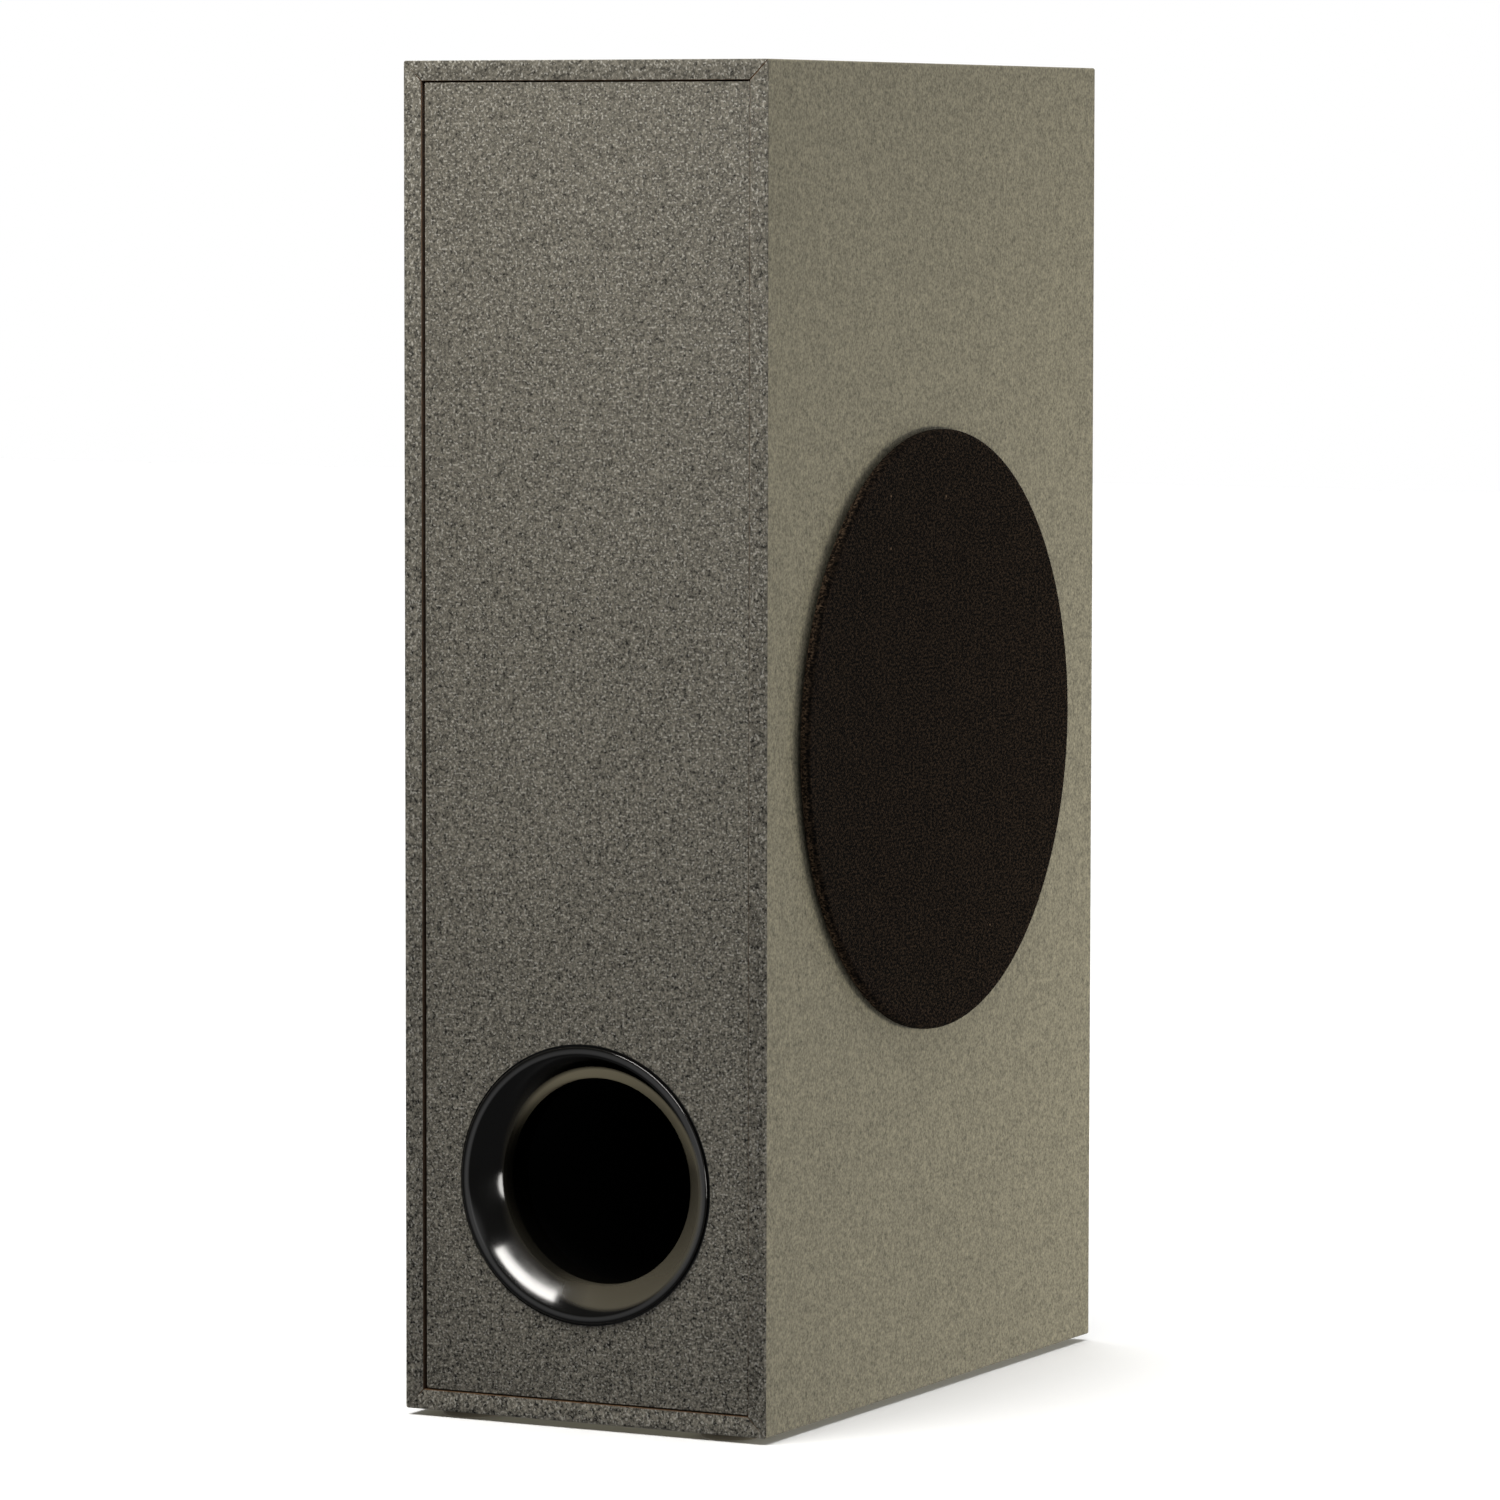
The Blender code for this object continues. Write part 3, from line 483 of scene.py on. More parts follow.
def moulded_group():
    """Fine spark-eroded texture with slow changes of shade, for mouldings, paint and rubber."""
    tree, given, out = new_group(
        "fine_texture",
        {
            "Tone": (0.02, 0.02, 0.02, 1),
            "Grain": 3000.0,
            "Shade Change": 0.25,
            "Roughness Low": 0.4,
            "Roughness High": 0.55,
        },
    )
    place = given["Place"]
    grain = noise(tree, place, given["Grain"], 2.0, 0.6)
    slow = noise(tree, place, 60.0, 3.0, 0.6)
    level = times(tree, minus(tree, slow, 0.5), given["Shade Change"])
    level = plus(tree, level, 1.0)
    fine = times(tree, minus(tree, grain, 0.5), given["Shade Change"])
    level = plus(tree, level, fine)
    rough = put(tree, "ShaderNodeMapRange", {"From Min": 0.3, "From Max": 0.7})
    join(
        tree,
        (scaled(tree, given["Tone"], level), out["Color"]),
        (slow, rough.inputs["Value"]),
        (given["Roughness Low"], rough.inputs["To Min"]),
        (given["Roughness High"], rough.inputs["To Max"]),
        (rough.outputs["Result"], out["Roughness"]),
        (grain, out["Height"]),
    )
    return tree


GROUP_MAKERS = {
    "grained_foil": grained_foil_group,
    "woven_cloth": woven_group,
    "fine_texture": moulded_group,
}


def group(name):
    return bpy.data.node_groups.get(name) or GROUP_MAKERS[name]()


# --- Finishes -------------------------------------------------------------------------


def new_finish(name, effect, values, bump, depth, fixed=None):
    """A material: one effect group feeds the colour, roughness and bump of its shader.

    bump is the Bump node's strength and depth its distance in metres; fixed holds values
    set on the shader's own sockets.
    """
    material = bpy.data.materials.new(f"{name}_finish")
    material.use_nodes = True
    tree = material.node_tree
    shader = tree.nodes["Principled BSDF"]
    for label, value in (fixed or {}).items():
        shader.inputs[label].default_value = value
    place = put(tree, "ShaderNodeTexCoord").outputs["Object"]
    node = put(tree, "ShaderNodeGroup", node_tree=group(effect))
    for label, value in values.items():
        node.inputs[label].default_value = value
    relief = put(tree, "ShaderNodeBump", {"Strength": bump, "Distance": depth})
    join(
        tree,
        (place, node.inputs["Place"]),
        (node.outputs["Color"], shader.inputs["Base Color"]),
        (node.outputs["Roughness"], shader.inputs["Roughness"]),
        (node.outputs["Height"], relief.inputs["Height"]),
        (relief.outputs["Normal"], shader.inputs["Normal"]),
    )
    return material


def opened(material):
    """A finish's tree, its shader's inputs, and the X, Y and Z of its Object coordinates."""
    tree = material.node_tree
    axes = put(tree, "ShaderNodeSeparateXYZ")
    join(tree, (tree.nodes["Texture Coordinate"].outputs["Object"], axes.inputs[0]))
    return tree, tree.nodes["Principled BSDF"].inputs, axes.outputs


def fed(socket):
    """What feeds the socket."""
    return socket.links[0].from_socket


def foil(name, tone, contrast, fleck_share, grain, cloud, bump, depth):
    """A foil finish: tone, grain in turns per metre, how strong each effect is, and bump."""
    values = {
        "Tone": (*tone, 1),
        "Fleck": (*settings().cabinet.fleck, 1),
        "Contrast": contrast,
        "Fleck Share": fleck_share,
        "Grain": grain,
        "Cloud": cloud,
    }
    return new_finish(name, "grained_foil", values, bump, depth, {"Specular IOR Level": 0.35})


def side_foil():
    return foil("side_foil", settings().cabinet.foil, 2.9, 0.05, 1200.0, 0.10, 0.25, 0.00015)


def front_foil():
    """The foil of the front, whose grain stands out more towards the bottom. It is a darker, less yellow copy
    of the side foil with more flecks: painted shade for the dimmer light on the front and painted sparkle for
    its glancing highlights.
    """
    at_bottom, at_top = 7.4, 4.7
    tone = settings().cabinet.front_foil
    material = foil("front_foil", tone, at_bottom, 0.4, 1250.0, 0.22, 0.35, 0.0002)
    tree, inputs, axes = opened(material)
    contrast = stretch(tree, axes["Z"], BASE, TOP, at_bottom, at_top)
    join(tree, (contrast, fed(inputs["Base Color"]).node.inputs["Contrast"]))
    return material


def textured(name, tone, grain, rough, bump=0.2, depth=0.0001, change=0.3, **fixed):
    """A finish with the fine texture: tone, grain in turns per metre and a roughness range."""
    values = {
        "Tone": (*tone, 1),
        "Grain": grain,
        "Shade Change": change,
        "Roughness Low": rough[0],
        "Roughness High": rough[1],
    }
    labels = {label.replace("_", " ").title().replace("Ior", "IOR"): v for label, v in fixed.items()}
    return new_finish(name, "fine_texture", values, bump, depth, labels)


def grille_cloth():
    """Black cloth, with painted light on its rolled edge at the front of the grille."""
    grille = settings().grille
    values = {"Tone": (*grille.tone, 1), "Pitch": grille.pitch, "Fuzz": 0.5}
    fixed = {"Specular IOR Level": 0.06}
    material = new_finish("grille_cloth", "woven_cloth", values, 0.5, 0.0003, fixed)
    tree, inputs, axes = opened(material)
    face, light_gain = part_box("grille_cloth")[1].x, 5.0
    # Painted light: the cloth's colour is raised on its rolled edge towards the front, where the cabinet
    # keeps the key light off it.
    rolled = stretch(tree, axes["X"], face - 0.3 * grille.roll, face - 0.9 * grille.roll)
    front = stretch(tree, axes["Y"], DRIVER.y - 30 * MM, DRIVER.y - 65 * MM)
    painted_light = stretch(tree, times(tree, rolled, front), 0.0, 1.0, 1.0, light_gain)
    join(tree, (scaled(tree, fed(inputs["Base Color"]), painted_light), inputs["Base Color"]))
    return material


def raw_fibreboard():
    return textured("raw_fibreboard", (0.085, 0.045, 0.019), 1500.0, (0.8, 0.95), 0.5, 0.0003, 1.2)


def polished_moulding():
    """Gloss black, with a film of fine dust and painted reflection where the flare turns into its
    throat.

    The film lies within a circle set to the lower right of the port's axis, as a painted
    reflection of the room; it fades at its left as painted shade, is paler towards its top as
    painted light and stops at the end of the flare.
    """
    material = textured(
        "polished_moulding", (0.0035, 0.0033, 0.0028), 900.0, (0.10, 0.14), 0.02, 0.00002, 0.3,
        specular_ior_level=0.9,
    )
    port = settings().port
    tree, inputs, axes = opened(material)
    place = tree.nodes["Texture Coordinate"].outputs["Object"]
    # The film is dust and a painted reflection: its circle is set off the port's axis where the flare
    # reflects the room.
    film_x, film_z, film_radius = 4.0 * MM, PORT.z - 1.0 * MM, port.throat + 4.8 * MM
    film_end = FRONT + port.depth
    film_middle = put(tree, "ShaderNodeCombineXYZ", {"X": film_x, "Z": film_z})
    level = put(tree, "ShaderNodeVectorMath", operation="MULTIPLY")
    level.inputs[1].default_value = (1, 0, 1)
    apart = put(tree, "ShaderNodeVectorMath", operation="DISTANCE")
    join(
        tree,
        (place, level.inputs[0]),
        (level.outputs[0], apart.inputs[0]),
        (film_middle.outputs[0], apart.inputs[1]),
    )
    near, far = film_radius - 0.5 * MM, film_radius + 0.7 * MM
    inside = stretch(tree, apart.outputs["Value"], near, far, 1.0, 0.0)
    dust_and_reflection = times(tree, inside, stretch(tree, axes["Y"], film_end, film_end + 0.5 * MM, 1.0, 0.0))
    raised = minus(tree, axes["Z"], PORT.z)
    across = plus(tree, axes["X"], times(tree, raised, 0.35))
    # Painted shade: the film fades towards the left of the flare.
    dust_and_reflection = times(tree, dust_and_reflection, stretch(tree, across, -24 * MM, -13 * MM, 0.2, 1.0))
    # Painted light: the film's tone is paler towards the top of the throat.
    lower_dust_and_reflection, upper_dust_and_painted_light = (0.075, 0.067, 0.048), (0.42, 0.37, 0.25)
    dust_reflection_and_light = mixed(tree, stretch(tree, raised, 6 * MM, port.throat), lower_dust_and_reflection, upper_dust_and_painted_light)
    join(tree, (mixed(tree, dust_and_reflection, fed(inputs["Base Color"]), dust_reflection_and_light), inputs["Base Color"]))
    dull = plus(tree, fed(inputs["Roughness"]), times(tree, dust_and_reflection, 0.12))
    join(tree, (dull, inputs["Roughness"]))
    return material


def circuit_laminate():
    """Green solder mask over a pattern of tracks."""
    material = textured("circuit_laminate", (0.010, 0.085, 0.030), 700.0, (0.25, 0.4), 0.1, 0.00005)
    tree = material.node_tree
    colour_in = tree.nodes["Principled BSDF"].inputs["Base Color"]
    place = tree.nodes["Texture Coordinate"].outputs["Object"]
    tracks = put(tree, "ShaderNodeTexBrick", {"Scale": 160.0, "Mortar Size": 0.09, "Mortar Smooth": 0.1})
    laid = put(tree, "ShaderNodeMapping", {"Rotation": (math.radians(90), 0, 0)})
    join(tree, (place, laid.inputs["Vector"]), (laid.outputs[0], tracks.inputs["Vector"]))
    join(tree, (mixed(tree, tracks.outputs["Fac"], fed(colour_in), (0.02, 0.16, 0.05)), colour_in))
    return material


def lamp_lens():
    return textured(
        "lamp_lens", (0.02, 0.12, 0.65), 400.0, (0.08, 0.15), 0.02, 0.00002, 0.1,
        emission_color=(0.05, 0.25, 1.0, 1.0), emission_strength=0.6, coat_weight=0.5,
    )


# Plain finishes by name: tone, grain, roughness range, bump, depth, change of shade, fixed.
TEXTURED = {
    "black_paint": ((0.014, 0.014, 0.014), 500.0, (0.55, 0.7), 0.3, 0.0003, 0.3, {}),
    # foot_rubber: a pale olive-brown, raised to stand in for light that the floor bounces onto the feet under
    # the box: painted light.
    "foot_rubber": ((0.150, 0.130, 0.090), 2600.0, (0.7, 0.85), 0.3, 0.0001, 0.4, {}),
    "soft_rubber": ((0.012, 0.012, 0.012), 1800.0, (0.45, 0.6), 0.1, 0.00005, 0.3, {}),
    "black_foam": ((0.015, 0.015, 0.016), 2400.0, (0.9, 1.0), 0.8, 0.0004, 0.6, {}),
    "cone_paper": ((0.016, 0.016, 0.018), 1200.0, (0.7, 0.85), 0.5, 0.0003, 0.6, {}),
    "spider_fabric": ((0.42, 0.25, 0.08), 2200.0, (0.8, 0.95), 0.5, 0.0003, 0.5, {}),
    "matt_black": ((0.017, 0.017, 0.017), 3200.0, (0.45, 0.58), 0.35, 0.0001, 0.25, {}),
    "tube_black": (
        (0.002, 0.002, 0.002), 3200.0, (0.7, 0.8), 0.3, 0.0001, 0.2, {"specular_ior_level": 0.1}
    ),
    "black_steel": ((0.016, 0.016, 0.017), 2100.0, (0.38, 0.5), 0.35, 0.0001, 0.25, {}),
    "zinc_steel": ((0.55, 0.56, 0.58), 900.0, (0.28, 0.42), 0.1, 0.00005, 0.3, {"metallic": 1.0}),
    "cast_aluminium": ((0.72, 0.73, 0.74), 1400.0, (0.3, 0.45), 0.2, 0.00005, 0.2, {"metallic": 1.0}),
    "brass_parts": ((0.72, 0.52, 0.22), 1200.0, (0.22, 0.35), 0.1, 0.00003, 0.2, {"metallic": 1.0}),
    "copper_parts": ((0.68, 0.28, 0.13), 2600.0, (0.3, 0.45), 0.4, 0.0001, 0.3, {"metallic": 1.0}),
    "ferrite": ((0.035, 0.035, 0.038), 1500.0, (0.55, 0.75), 0.4, 0.0002, 0.5, {}),
    "red_sleeve": ((0.42, 0.012, 0.010), 1200.0, (0.35, 0.5), 0.1, 0.00005, 0.2, {}),
    "black_sleeve": ((0.010, 0.010, 0.010), 1200.0, (0.35, 0.5), 0.1, 0.00005, 0.2, {}),
}

SPECIAL = {
    "side_foil": side_foil,
    "front_foil": front_foil,
    "grille_cloth": grille_cloth,
    "raw_fibreboard": raw_fibreboard,
    "polished_moulding": polished_moulding,
    "circuit_laminate": circuit_laminate,
    "lamp_lens": lamp_lens,
}


def finish(name):
    """The finish of that name, made when it is first asked for."""
    material = bpy.data.materials.get(f"{name}_finish")
    if material is None and name in SPECIAL:
        material = SPECIAL[name]()
    if material is None:
        tone, grain, rough, bump, depth, change, fixed = TEXTURED[name]
        material = textured(name, tone, grain, rough, bump, depth, change, **fixed)
    return material


def paint(piece, *names):
    """Give the piece these finishes, in slot order."""
    piece.data.materials.clear()
    for name in names:
        piece.data.materials.append(finish(name))
    return piece


def paint_where(piece, slot, chosen):
    """Use the slot's finish on the faces for which chosen(centres, normals) is true."""
    faces = piece.data.polygons
    centres = np.empty(len(faces) * 3)
    normals = np.empty(len(faces) * 3)
    slots = np.empty(len(faces), np.int32)
    faces.foreach_get("center", centres)
    faces.foreach_get("normal", normals)
    faces.foreach_get("material_index", slots)
    slots[chosen(centres.reshape(-1, 3), normals.reshape(-1, 3))] = slot
    faces.foreach_set("material_index", slots)
    piece.data.update()


# --- The box --------------------------------------------------------------------------


def board_section(long, fold, inset, start_groove, end_groove, steps=5):
    """The outline of a mitred board as (s, t): s along it, t out of its outer face.

    The outer face ends in an eighth of a round of the fold's radius at each mitre plane.
    inset moves every face in, and each groove, (at the inner edge, halfway, at the outer
    edge), moves that mitred end further in.
    """
    near = 0.02 * MM
    radius = fold - inset
    reach = long / 2

    def end(groove):
        at_inner, halfway, at_outer = groove
        lean = math.degrees(math.asin(min(0.7, at_outer / radius)))
        bend = arc((fold - reach, -fold), (radius, radius), 135 - lean, 90, steps)
        inner = -BOARD + inset
        foot = (-reach - inner + at_inner * math.sqrt(2), inner)
        belly = (-reach + BOARD / 2 + halfway * math.sqrt(2), -BOARD / 2)
        return np.concatenate([[foot, belly], bend, [(fold - reach + near, -inset)]])

    return np.concatenate([end(start_groove), (end(end_groove) * (-1, 1))[::-1]])


def wrap_board(name, node, long, along, out, grooves):
    """A board of the wrap, swept from the front to the rear with eased front and rear edges.

    along and out are the directions of s and t, and grooves how wide the joint opens at
    each mitre's front: at the inner edge, halfway and at the outer edge.
    """
    cabinet = settings().cabinet
    turn = np.radians(np.linspace(0, 90, 5))
    insets, eases = cabinet.edge * (1 - np.sin(turn)), cabinet.edge * (1 - np.cos(turn))
    near = 0.02 * MM
    stations = [(FRONT + ease, inset) for ease, inset in zip(eases, insets)]
    stations += [(FRONT + cabinet.edge + near, 0.0), (REAR - cabinet.edge - near, 0.0)]
    stations += [(REAR - ease, inset) for ease, inset in zip(eases[::-1], insets[::-1])]
    hairline = 0.01 * MM
    outward, run = np.array(out, float), np.array(along, float)
    reach = np.abs(outward) @ ((RIGHT - LEFT) / 2, 0, (TOP - BASE) / 2)
    centre = np.array(((LEFT + RIGHT) / 2, 0, MIDDLE)) + outward * reach
    rows = []
    for y, inset in stations:
        widths = [hairline + np.array(groove) * inset / cabinet.edge for groove in grooves]
        section = board_section(long, cabinet.fold, inset, *widths)
        rows.append(centre + (0, y, 0) + section[:, :1] * run + section[:, 1:] * outward)
    piece = surface(name, rows, closed=False, capped=True, sharp=50)
    paint(piece, "side_foil", "front_foil", "raw_fibreboard")
    # Faces towards the front or the rear take the front's darker copy of the foil: painted shade.
    paint_where(piece, 1, lambda c, n: np.abs(n[:, 1]) > 0.3)
    paint_where(
        piece, 2,
        lambda c, n: (n @ outward < -0.4)
        | (np.abs(n @ run) > 0.6) & (n @ outward < 0.2)
        | (np.abs(n @ run) > 0.2) & (n @ outward < -0.15),
    )
    return wear(piece, "cabinet", "wrap_foil", node)


class SUBWOOFER_OT_wrap(bpy.types.Operator):
    """Make the four boards of the folded, foil-covered wrap"""

    bl_idname = "subwoofer.wrap"
    bl_label = "Wrap Boards"

    def execute(self, context):
        wide, tall = RIGHT - LEFT, TOP - BASE
        short = (0.3 * MM, 0.06 * MM, 0.0)
        full = (0.32 * MM, 0.3 * MM, 0.22 * MM)
        speck = (0.16 * MM, 0.02 * MM, 0.0)
        broken = (0.1 * MM, 0.08 * MM, 0.02 * MM)
        wrap_board("wrap_top", "top_board", wide, (1, 0, 0), (0, 0, 1), (short, full))
        wrap_board("wrap_bottom", "bottom_board", wide, (-1, 0, 0), (0, 0, -1), (broken, speck))
        wrap_board("wrap_left", "left_board", tall, (0, 0, 1), (-1, 0, 0), (speck, short))
        right = wrap_board("wrap_right", "right_board", tall, (0, 0, -1), (1, 0, 0), (full, broken))
        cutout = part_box("driver_gasket")[1].z - middle("driver_gasket").z - 9.2 * MM
        deep = -2 * BOARD
        tools = [tool_rod(DRIVER, TO_RIGHT, (0, 0), cutout, deep, BOARD, 160)]
        holes = {"grille_socket": 3.3 * MM, "driver_screw": 2.2 * MM}
        for number in range(1, 5):
            for node, radius in holes.items():
                place = middle(f"{node}_{number}") - DRIVER
                tools.append(tool_rod(DRIVER, TO_RIGHT, (place.y, place.z), radius, deep, BOARD))
        carve(right, tools)
        return {"FINISHED"}


class SUBWOOFER_OT_panels(bpy.types.Operator):
    """Make the inset front panel and the rear panel"""

    bl_idname = "subwoofer.panels"
    bl_label = "Front and Rear Panels"

    def execute(self, context):
        cabinet = settings().cabinet
        left, right = LEFT + BOARD + cabinet.joint_left, RIGHT - BOARD - cabinet.joint_right
        low, high = BASE + BOARD + cabinet.joint_bottom, TOP - BOARD - cabinet.joint_top
        face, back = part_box("front_baffle")[0].y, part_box("front_baffle")[1].y
        origin = ((left + right) / 2, face, (low + high) / 2)
        levels = eased(right - left, high - low, 0.6 * MM, face - back, 0, cabinet.panel_edge, 4)
        front = stacked("front_panel", levels, origin, TO_FRONT, 4, 60)
        seat = Vector((PORT.x, face, PORT.z))
        bore, rebate, sunk, cut_rim = 39.6 * MM, 41.65 * MM, 0.9 * MM, 41.8 * MM
        tools = [tool_rod(seat, TO_FRONT, (0, 0), bore, -0.03, 0.01, 160)]
        tools.append(tool_rod(seat, TO_FRONT, (0, 0), rebate, -sunk, 0.01, 192))
        carve(front, tools)
        # The front panel takes the front's darker copy of the foil: painted shade.
        paint(front, "front_foil", "raw_fibreboard", "black_paint")
        paint_where(front, 1, lambda c, n: n[:, 1] > -0.35)
        # The rebate and bore round the port take black paint: painted shade for the shadowed gap round the
        # flare's rim.
        paint_where(
            front, 2,
            lambda c, n: (np.hypot(c[:, 0] - PORT.x, c[:, 2] - PORT.z) < cut_rim)
            & ((c[:, 1] > face + 0.1 * MM) | (n[:, 1] > -0.35)),
        )
        wear(front, "cabinet", "front_foil", "front_baffle")

        low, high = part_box("rear_panel")
        size = high - low
        origin = (0, PANEL_FACE, (low.z + high.z) / 2)
        levels = eased(size.x, size.z, 0.6 * MM, -size.y, 0, 0.3 * MM, 3)
        rear = stacked("back_panel", levels, origin, TO_REAR, 4, 60)
        cut_width, cut_height = 80 * MM, 172 * MM
        cutout = [(cut_width, cut_height, 2 * MM, -0.02), (cut_width, cut_height, 2 * MM, 0.01)]
        tools = [stacked("tool", cutout, PLATE, TO_REAR)]
        for number in range(1, 5):
            place = middle(f"plate_screw_{number}") - PLATE
            tools.append(tool_rod(PLATE, TO_REAR, (-place.x, place.z), 1.9 * MM, -0.02, 0.01, 24))
        carve(rear, tools)
        paint(rear, "black_paint", "raw_fibreboard")
        paint_where(rear, 1, lambda c, n: n[:, 1] < 0.35)
        wear(rear, "cabinet", "rear_board", "rear_panel")
        return {"FINISHED"}


class SUBWOOFER_OT_feet(bpy.types.Operator):
    """Make the four round rubber pads"""

    bl_idname = "subwoofer.feet"
    bl_label = "Feet"

    def execute(self, context):
        edge = 0.45 * MM
        for end in ("front", "rear"):
            for side in ("left", "right"):
                node = f"foot_{end}_{side}"
                low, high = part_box(node)
                radius, tall = (high.x - low.x) / 2, high.z - low.z
                profile = [(0, tall), (radius - 0.3 * MM, tall), (radius - 0.1 * MM, tall - 0.1 * MM)]
                profile += [(radius, tall - 0.3 * MM)]
                profile += arc((radius - edge, edge), (edge, edge), 0, -90, 6).tolist()
                profile += [(radius - 2.2 * MM, 0), (radius - 2.5 * MM, 0.15 * MM), (0, 0.15 * MM)]
                origin = ((low.x + high.x) / 2, (low.y + high.y) / 2, low.z)
                pad = turned(f"pad_{end}_{side}", profile, origin, TO_TOP, 96)
                wear(paint(pad, "foot_rubber"), "cabinet", "foot_rubber", node)
        return {"FINISHED"}


# --- The port -------------------------------------------------------------------------


class SUBWOOFER_OT_port(bpy.types.Operator):
    """Make the polished flare and the tube behind it"""

    bl_idname = "subwoofer.port"
    bl_label = "Port"

    def execute(self, context):
        port = settings().port
        rim = (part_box("port_flare")[1].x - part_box("port_flare")[0].x) / 2
        wall = 1.5 * MM
        # How far the bore's line leans from the face at each radius, from the throat outwards.
        marks = np.array([port.throat, 30.9 * MM, 31.5 * MM, 33 * MM, 36 * MM, 38.2 * MM, port.mouth])
        radii = np.concatenate([np.linspace(a, b, 9)[:-1] for a, b in zip(marks[::-1], marks[-2::-1])])
        radii = np.append(radii, port.throat)
        lean = np.radians(np.interp(radii, marks, [85, 72, 56, 52, 49, 44, 0]))
        drops = np.diff(radii) * (np.tan(lean[1:]) + np.tan(lean[:-1])) / 2
        heights = port.lip + np.concatenate([[0], np.cumsum(drops)])
        bore = np.column_stack([radii, heights])
        back = bore + wall * np.column_stack([np.sin(lean), -np.cos(lean)])
        rim_round = (rim - port.mouth, 0.9 * MM)
        profile = arc((rim - rim_round[0], port.lip - rim_round[1]), rim_round, 90, 0, 16)[1:].tolist()
        profile += [(rim, -0.7 * MM), (port.mouth + 0.1 * MM, -0.7 * MM)]
        profile += back[2:].tolist()
        profile += [(back[-1, 0], -22 * MM), (port.throat, -22 * MM)]
        profile += bore[::-1].tolist()
        flare = turned("flare_moulding", profile, PORT, TO_FRONT, 192, 40)
        wear(paint(flare, "polished_moulding"), "cabinet", "gloss_black", "port_flare")

        low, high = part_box("port_tube")
        outer = (high.x - low.x) / 2
        inner = outer - 1.8 * MM
        start, end = FRONT - low.y, FRONT - high.y
        chamfer = 0.4 * MM
        profile = [(outer, start - chamfer), (outer, end + chamfer), (outer - chamfer, end)]
        profile += [(inner + chamfer, end), (inner, end + chamfer), (inner, start - chamfer)]
        profile += [(inner + chamfer, start), (outer - chamfer, start)]
        tube = turned("port_liner", profile, PORT, TO_FRONT, 128)
        wear(paint(tube, "tube_black"), "cabinet", "matt_black", "port_tube")
        return {"FINISHED"}


# --- The grille -----------------------------------------------------------------------


class SUBWOOFER_OT_grille(bpy.types.Operator):
    """Make the grille's cloth, its ring with the pegs, and their sockets"""

    bl_idname = "subwoofer.grille"
    bl_label = "Grille"

    def execute(self, context):
        grille = settings().grille
        low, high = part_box("grille_cloth")
        radius, proud = (high.z - low.z) / 2, high.x - RIGHT
        roll, thick, hem = grille.roll, grille.cloth, max(low.x - RIGHT, 1.1 * MM)
        centre = (radius - roll, proud - roll)
        flat = np.linspace(0, radius - roll, 26)[:-1]
        outside = [(r, proud) for r in flat]
        outside += arc(centre, (roll, roll), 90, 0, 14).tolist() + [(radius, hem)]
        inside = [(radius - thick, hem)]
        inside += arc(centre, (roll - thick, roll - thick), 0, 90, 14).tolist()
        inside += [(r, proud - thick) for r in flat[::-1]]
        cloth = turned("speaker_cloth", outside + inside, DRIVER, TO_RIGHT, 224, 60)
        wear(paint(cloth, "grille_cloth"), "grille", "grille_fabric", "grille_cloth")

        low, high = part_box("grille_frame")
        outer, inner = (high.z - low.z) / 2, 81.8 * MM
        bottom, top = 0.3 * MM, high.x - RIGHT
        corner = 1.8 * MM
        profile = arc((outer - corner, top - corner), (corner, corner), 90, 0, 10).tolist()
        # Below the step the ring's wall stands back from the cloth's hem.
        waist, step = outer - 1.5 * MM, 1.2 * MM
        profile += [(outer, step), (waist, step), (waist, bottom)]
        profile += [(inner + 0.3 * MM, bottom), (inner, bottom + 0.3 * MM)]
        profile += [(inner, top - 0.5 * MM), (inner + 0.5 * MM, top)]
        ring = turned("grille_ring", profile, DRIVER, TO_RIGHT, 192)
        pegs = []
        for number in range(1, 5):
            socket = middle(f"grille_socket_{number}") - DRIVER
            centre = Vector((RIGHT, DRIVER.y + socket.y, DRIVER.z + socket.z))
            tip, thick = low.x - RIGHT, 1.75 * MM
            peg = [(0, 1.0 * MM), (thick, 1.0 * MM), (thick, tip + 0.6 * MM)]
            peg += [(thick - 0.5 * MM, tip), (0, tip)]
            pegs.append(turned("tool", peg, centre, TO_RIGHT, 24))
            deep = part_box(f"grille_socket_{number}")[0].x - RIGHT
            sleeve = [(3.2 * MM, -0.3 * MM), (3.2 * MM, deep), (2.1 * MM, deep), (2.1 * MM, -0.6 * MM)]
            sleeve += [(2.5 * MM, 0), (2.9 * MM, 0)]
            cup = turned(f"peg_socket_{number}", sleeve, centre, TO_RIGHT, 40)
            wear(paint(cup, "soft_rubber"), "cabinet", "soft_rubber", f"grille_socket_{number}")
        carve(ring, pegs, "UNION")
        wear(paint(ring, "matt_black"), "grille", "matt_black", "grille_frame")
        return {"FINISHED"}


# --- The woofer -----------------------------------------------------------------------


def pan_screw(name, origin, axes, head_radius, head, shank, end, body, slot, node):
    """A pan-head screw with a cross recess: a turned profile cut by two crossed bars."""
    profile = [(0, head)] + arc((head_radius - head, 0), (head, head), 90, 0, 8).tolist()
    profile += [(shank, 0), (shank, end + shank), (0, end)]
    screw = turned(name, profile, origin, axes, 40)
    long, thin, deep = head_radius * 1.05, head_radius * 0.24, head * 0.45
    bars = []
    for width, height in ((long, thin), (thin, long)):
        levels = [(width * 0.6, height * 0.6, thin * 0.1, deep), (width, height, thin * 0.2, head * 1.5)]
        bars.append(stacked("tool", levels, origin, axes, 2))
    carve(screw, bars)
    return wear(paint(screw, "black_steel"), body, slot, node)


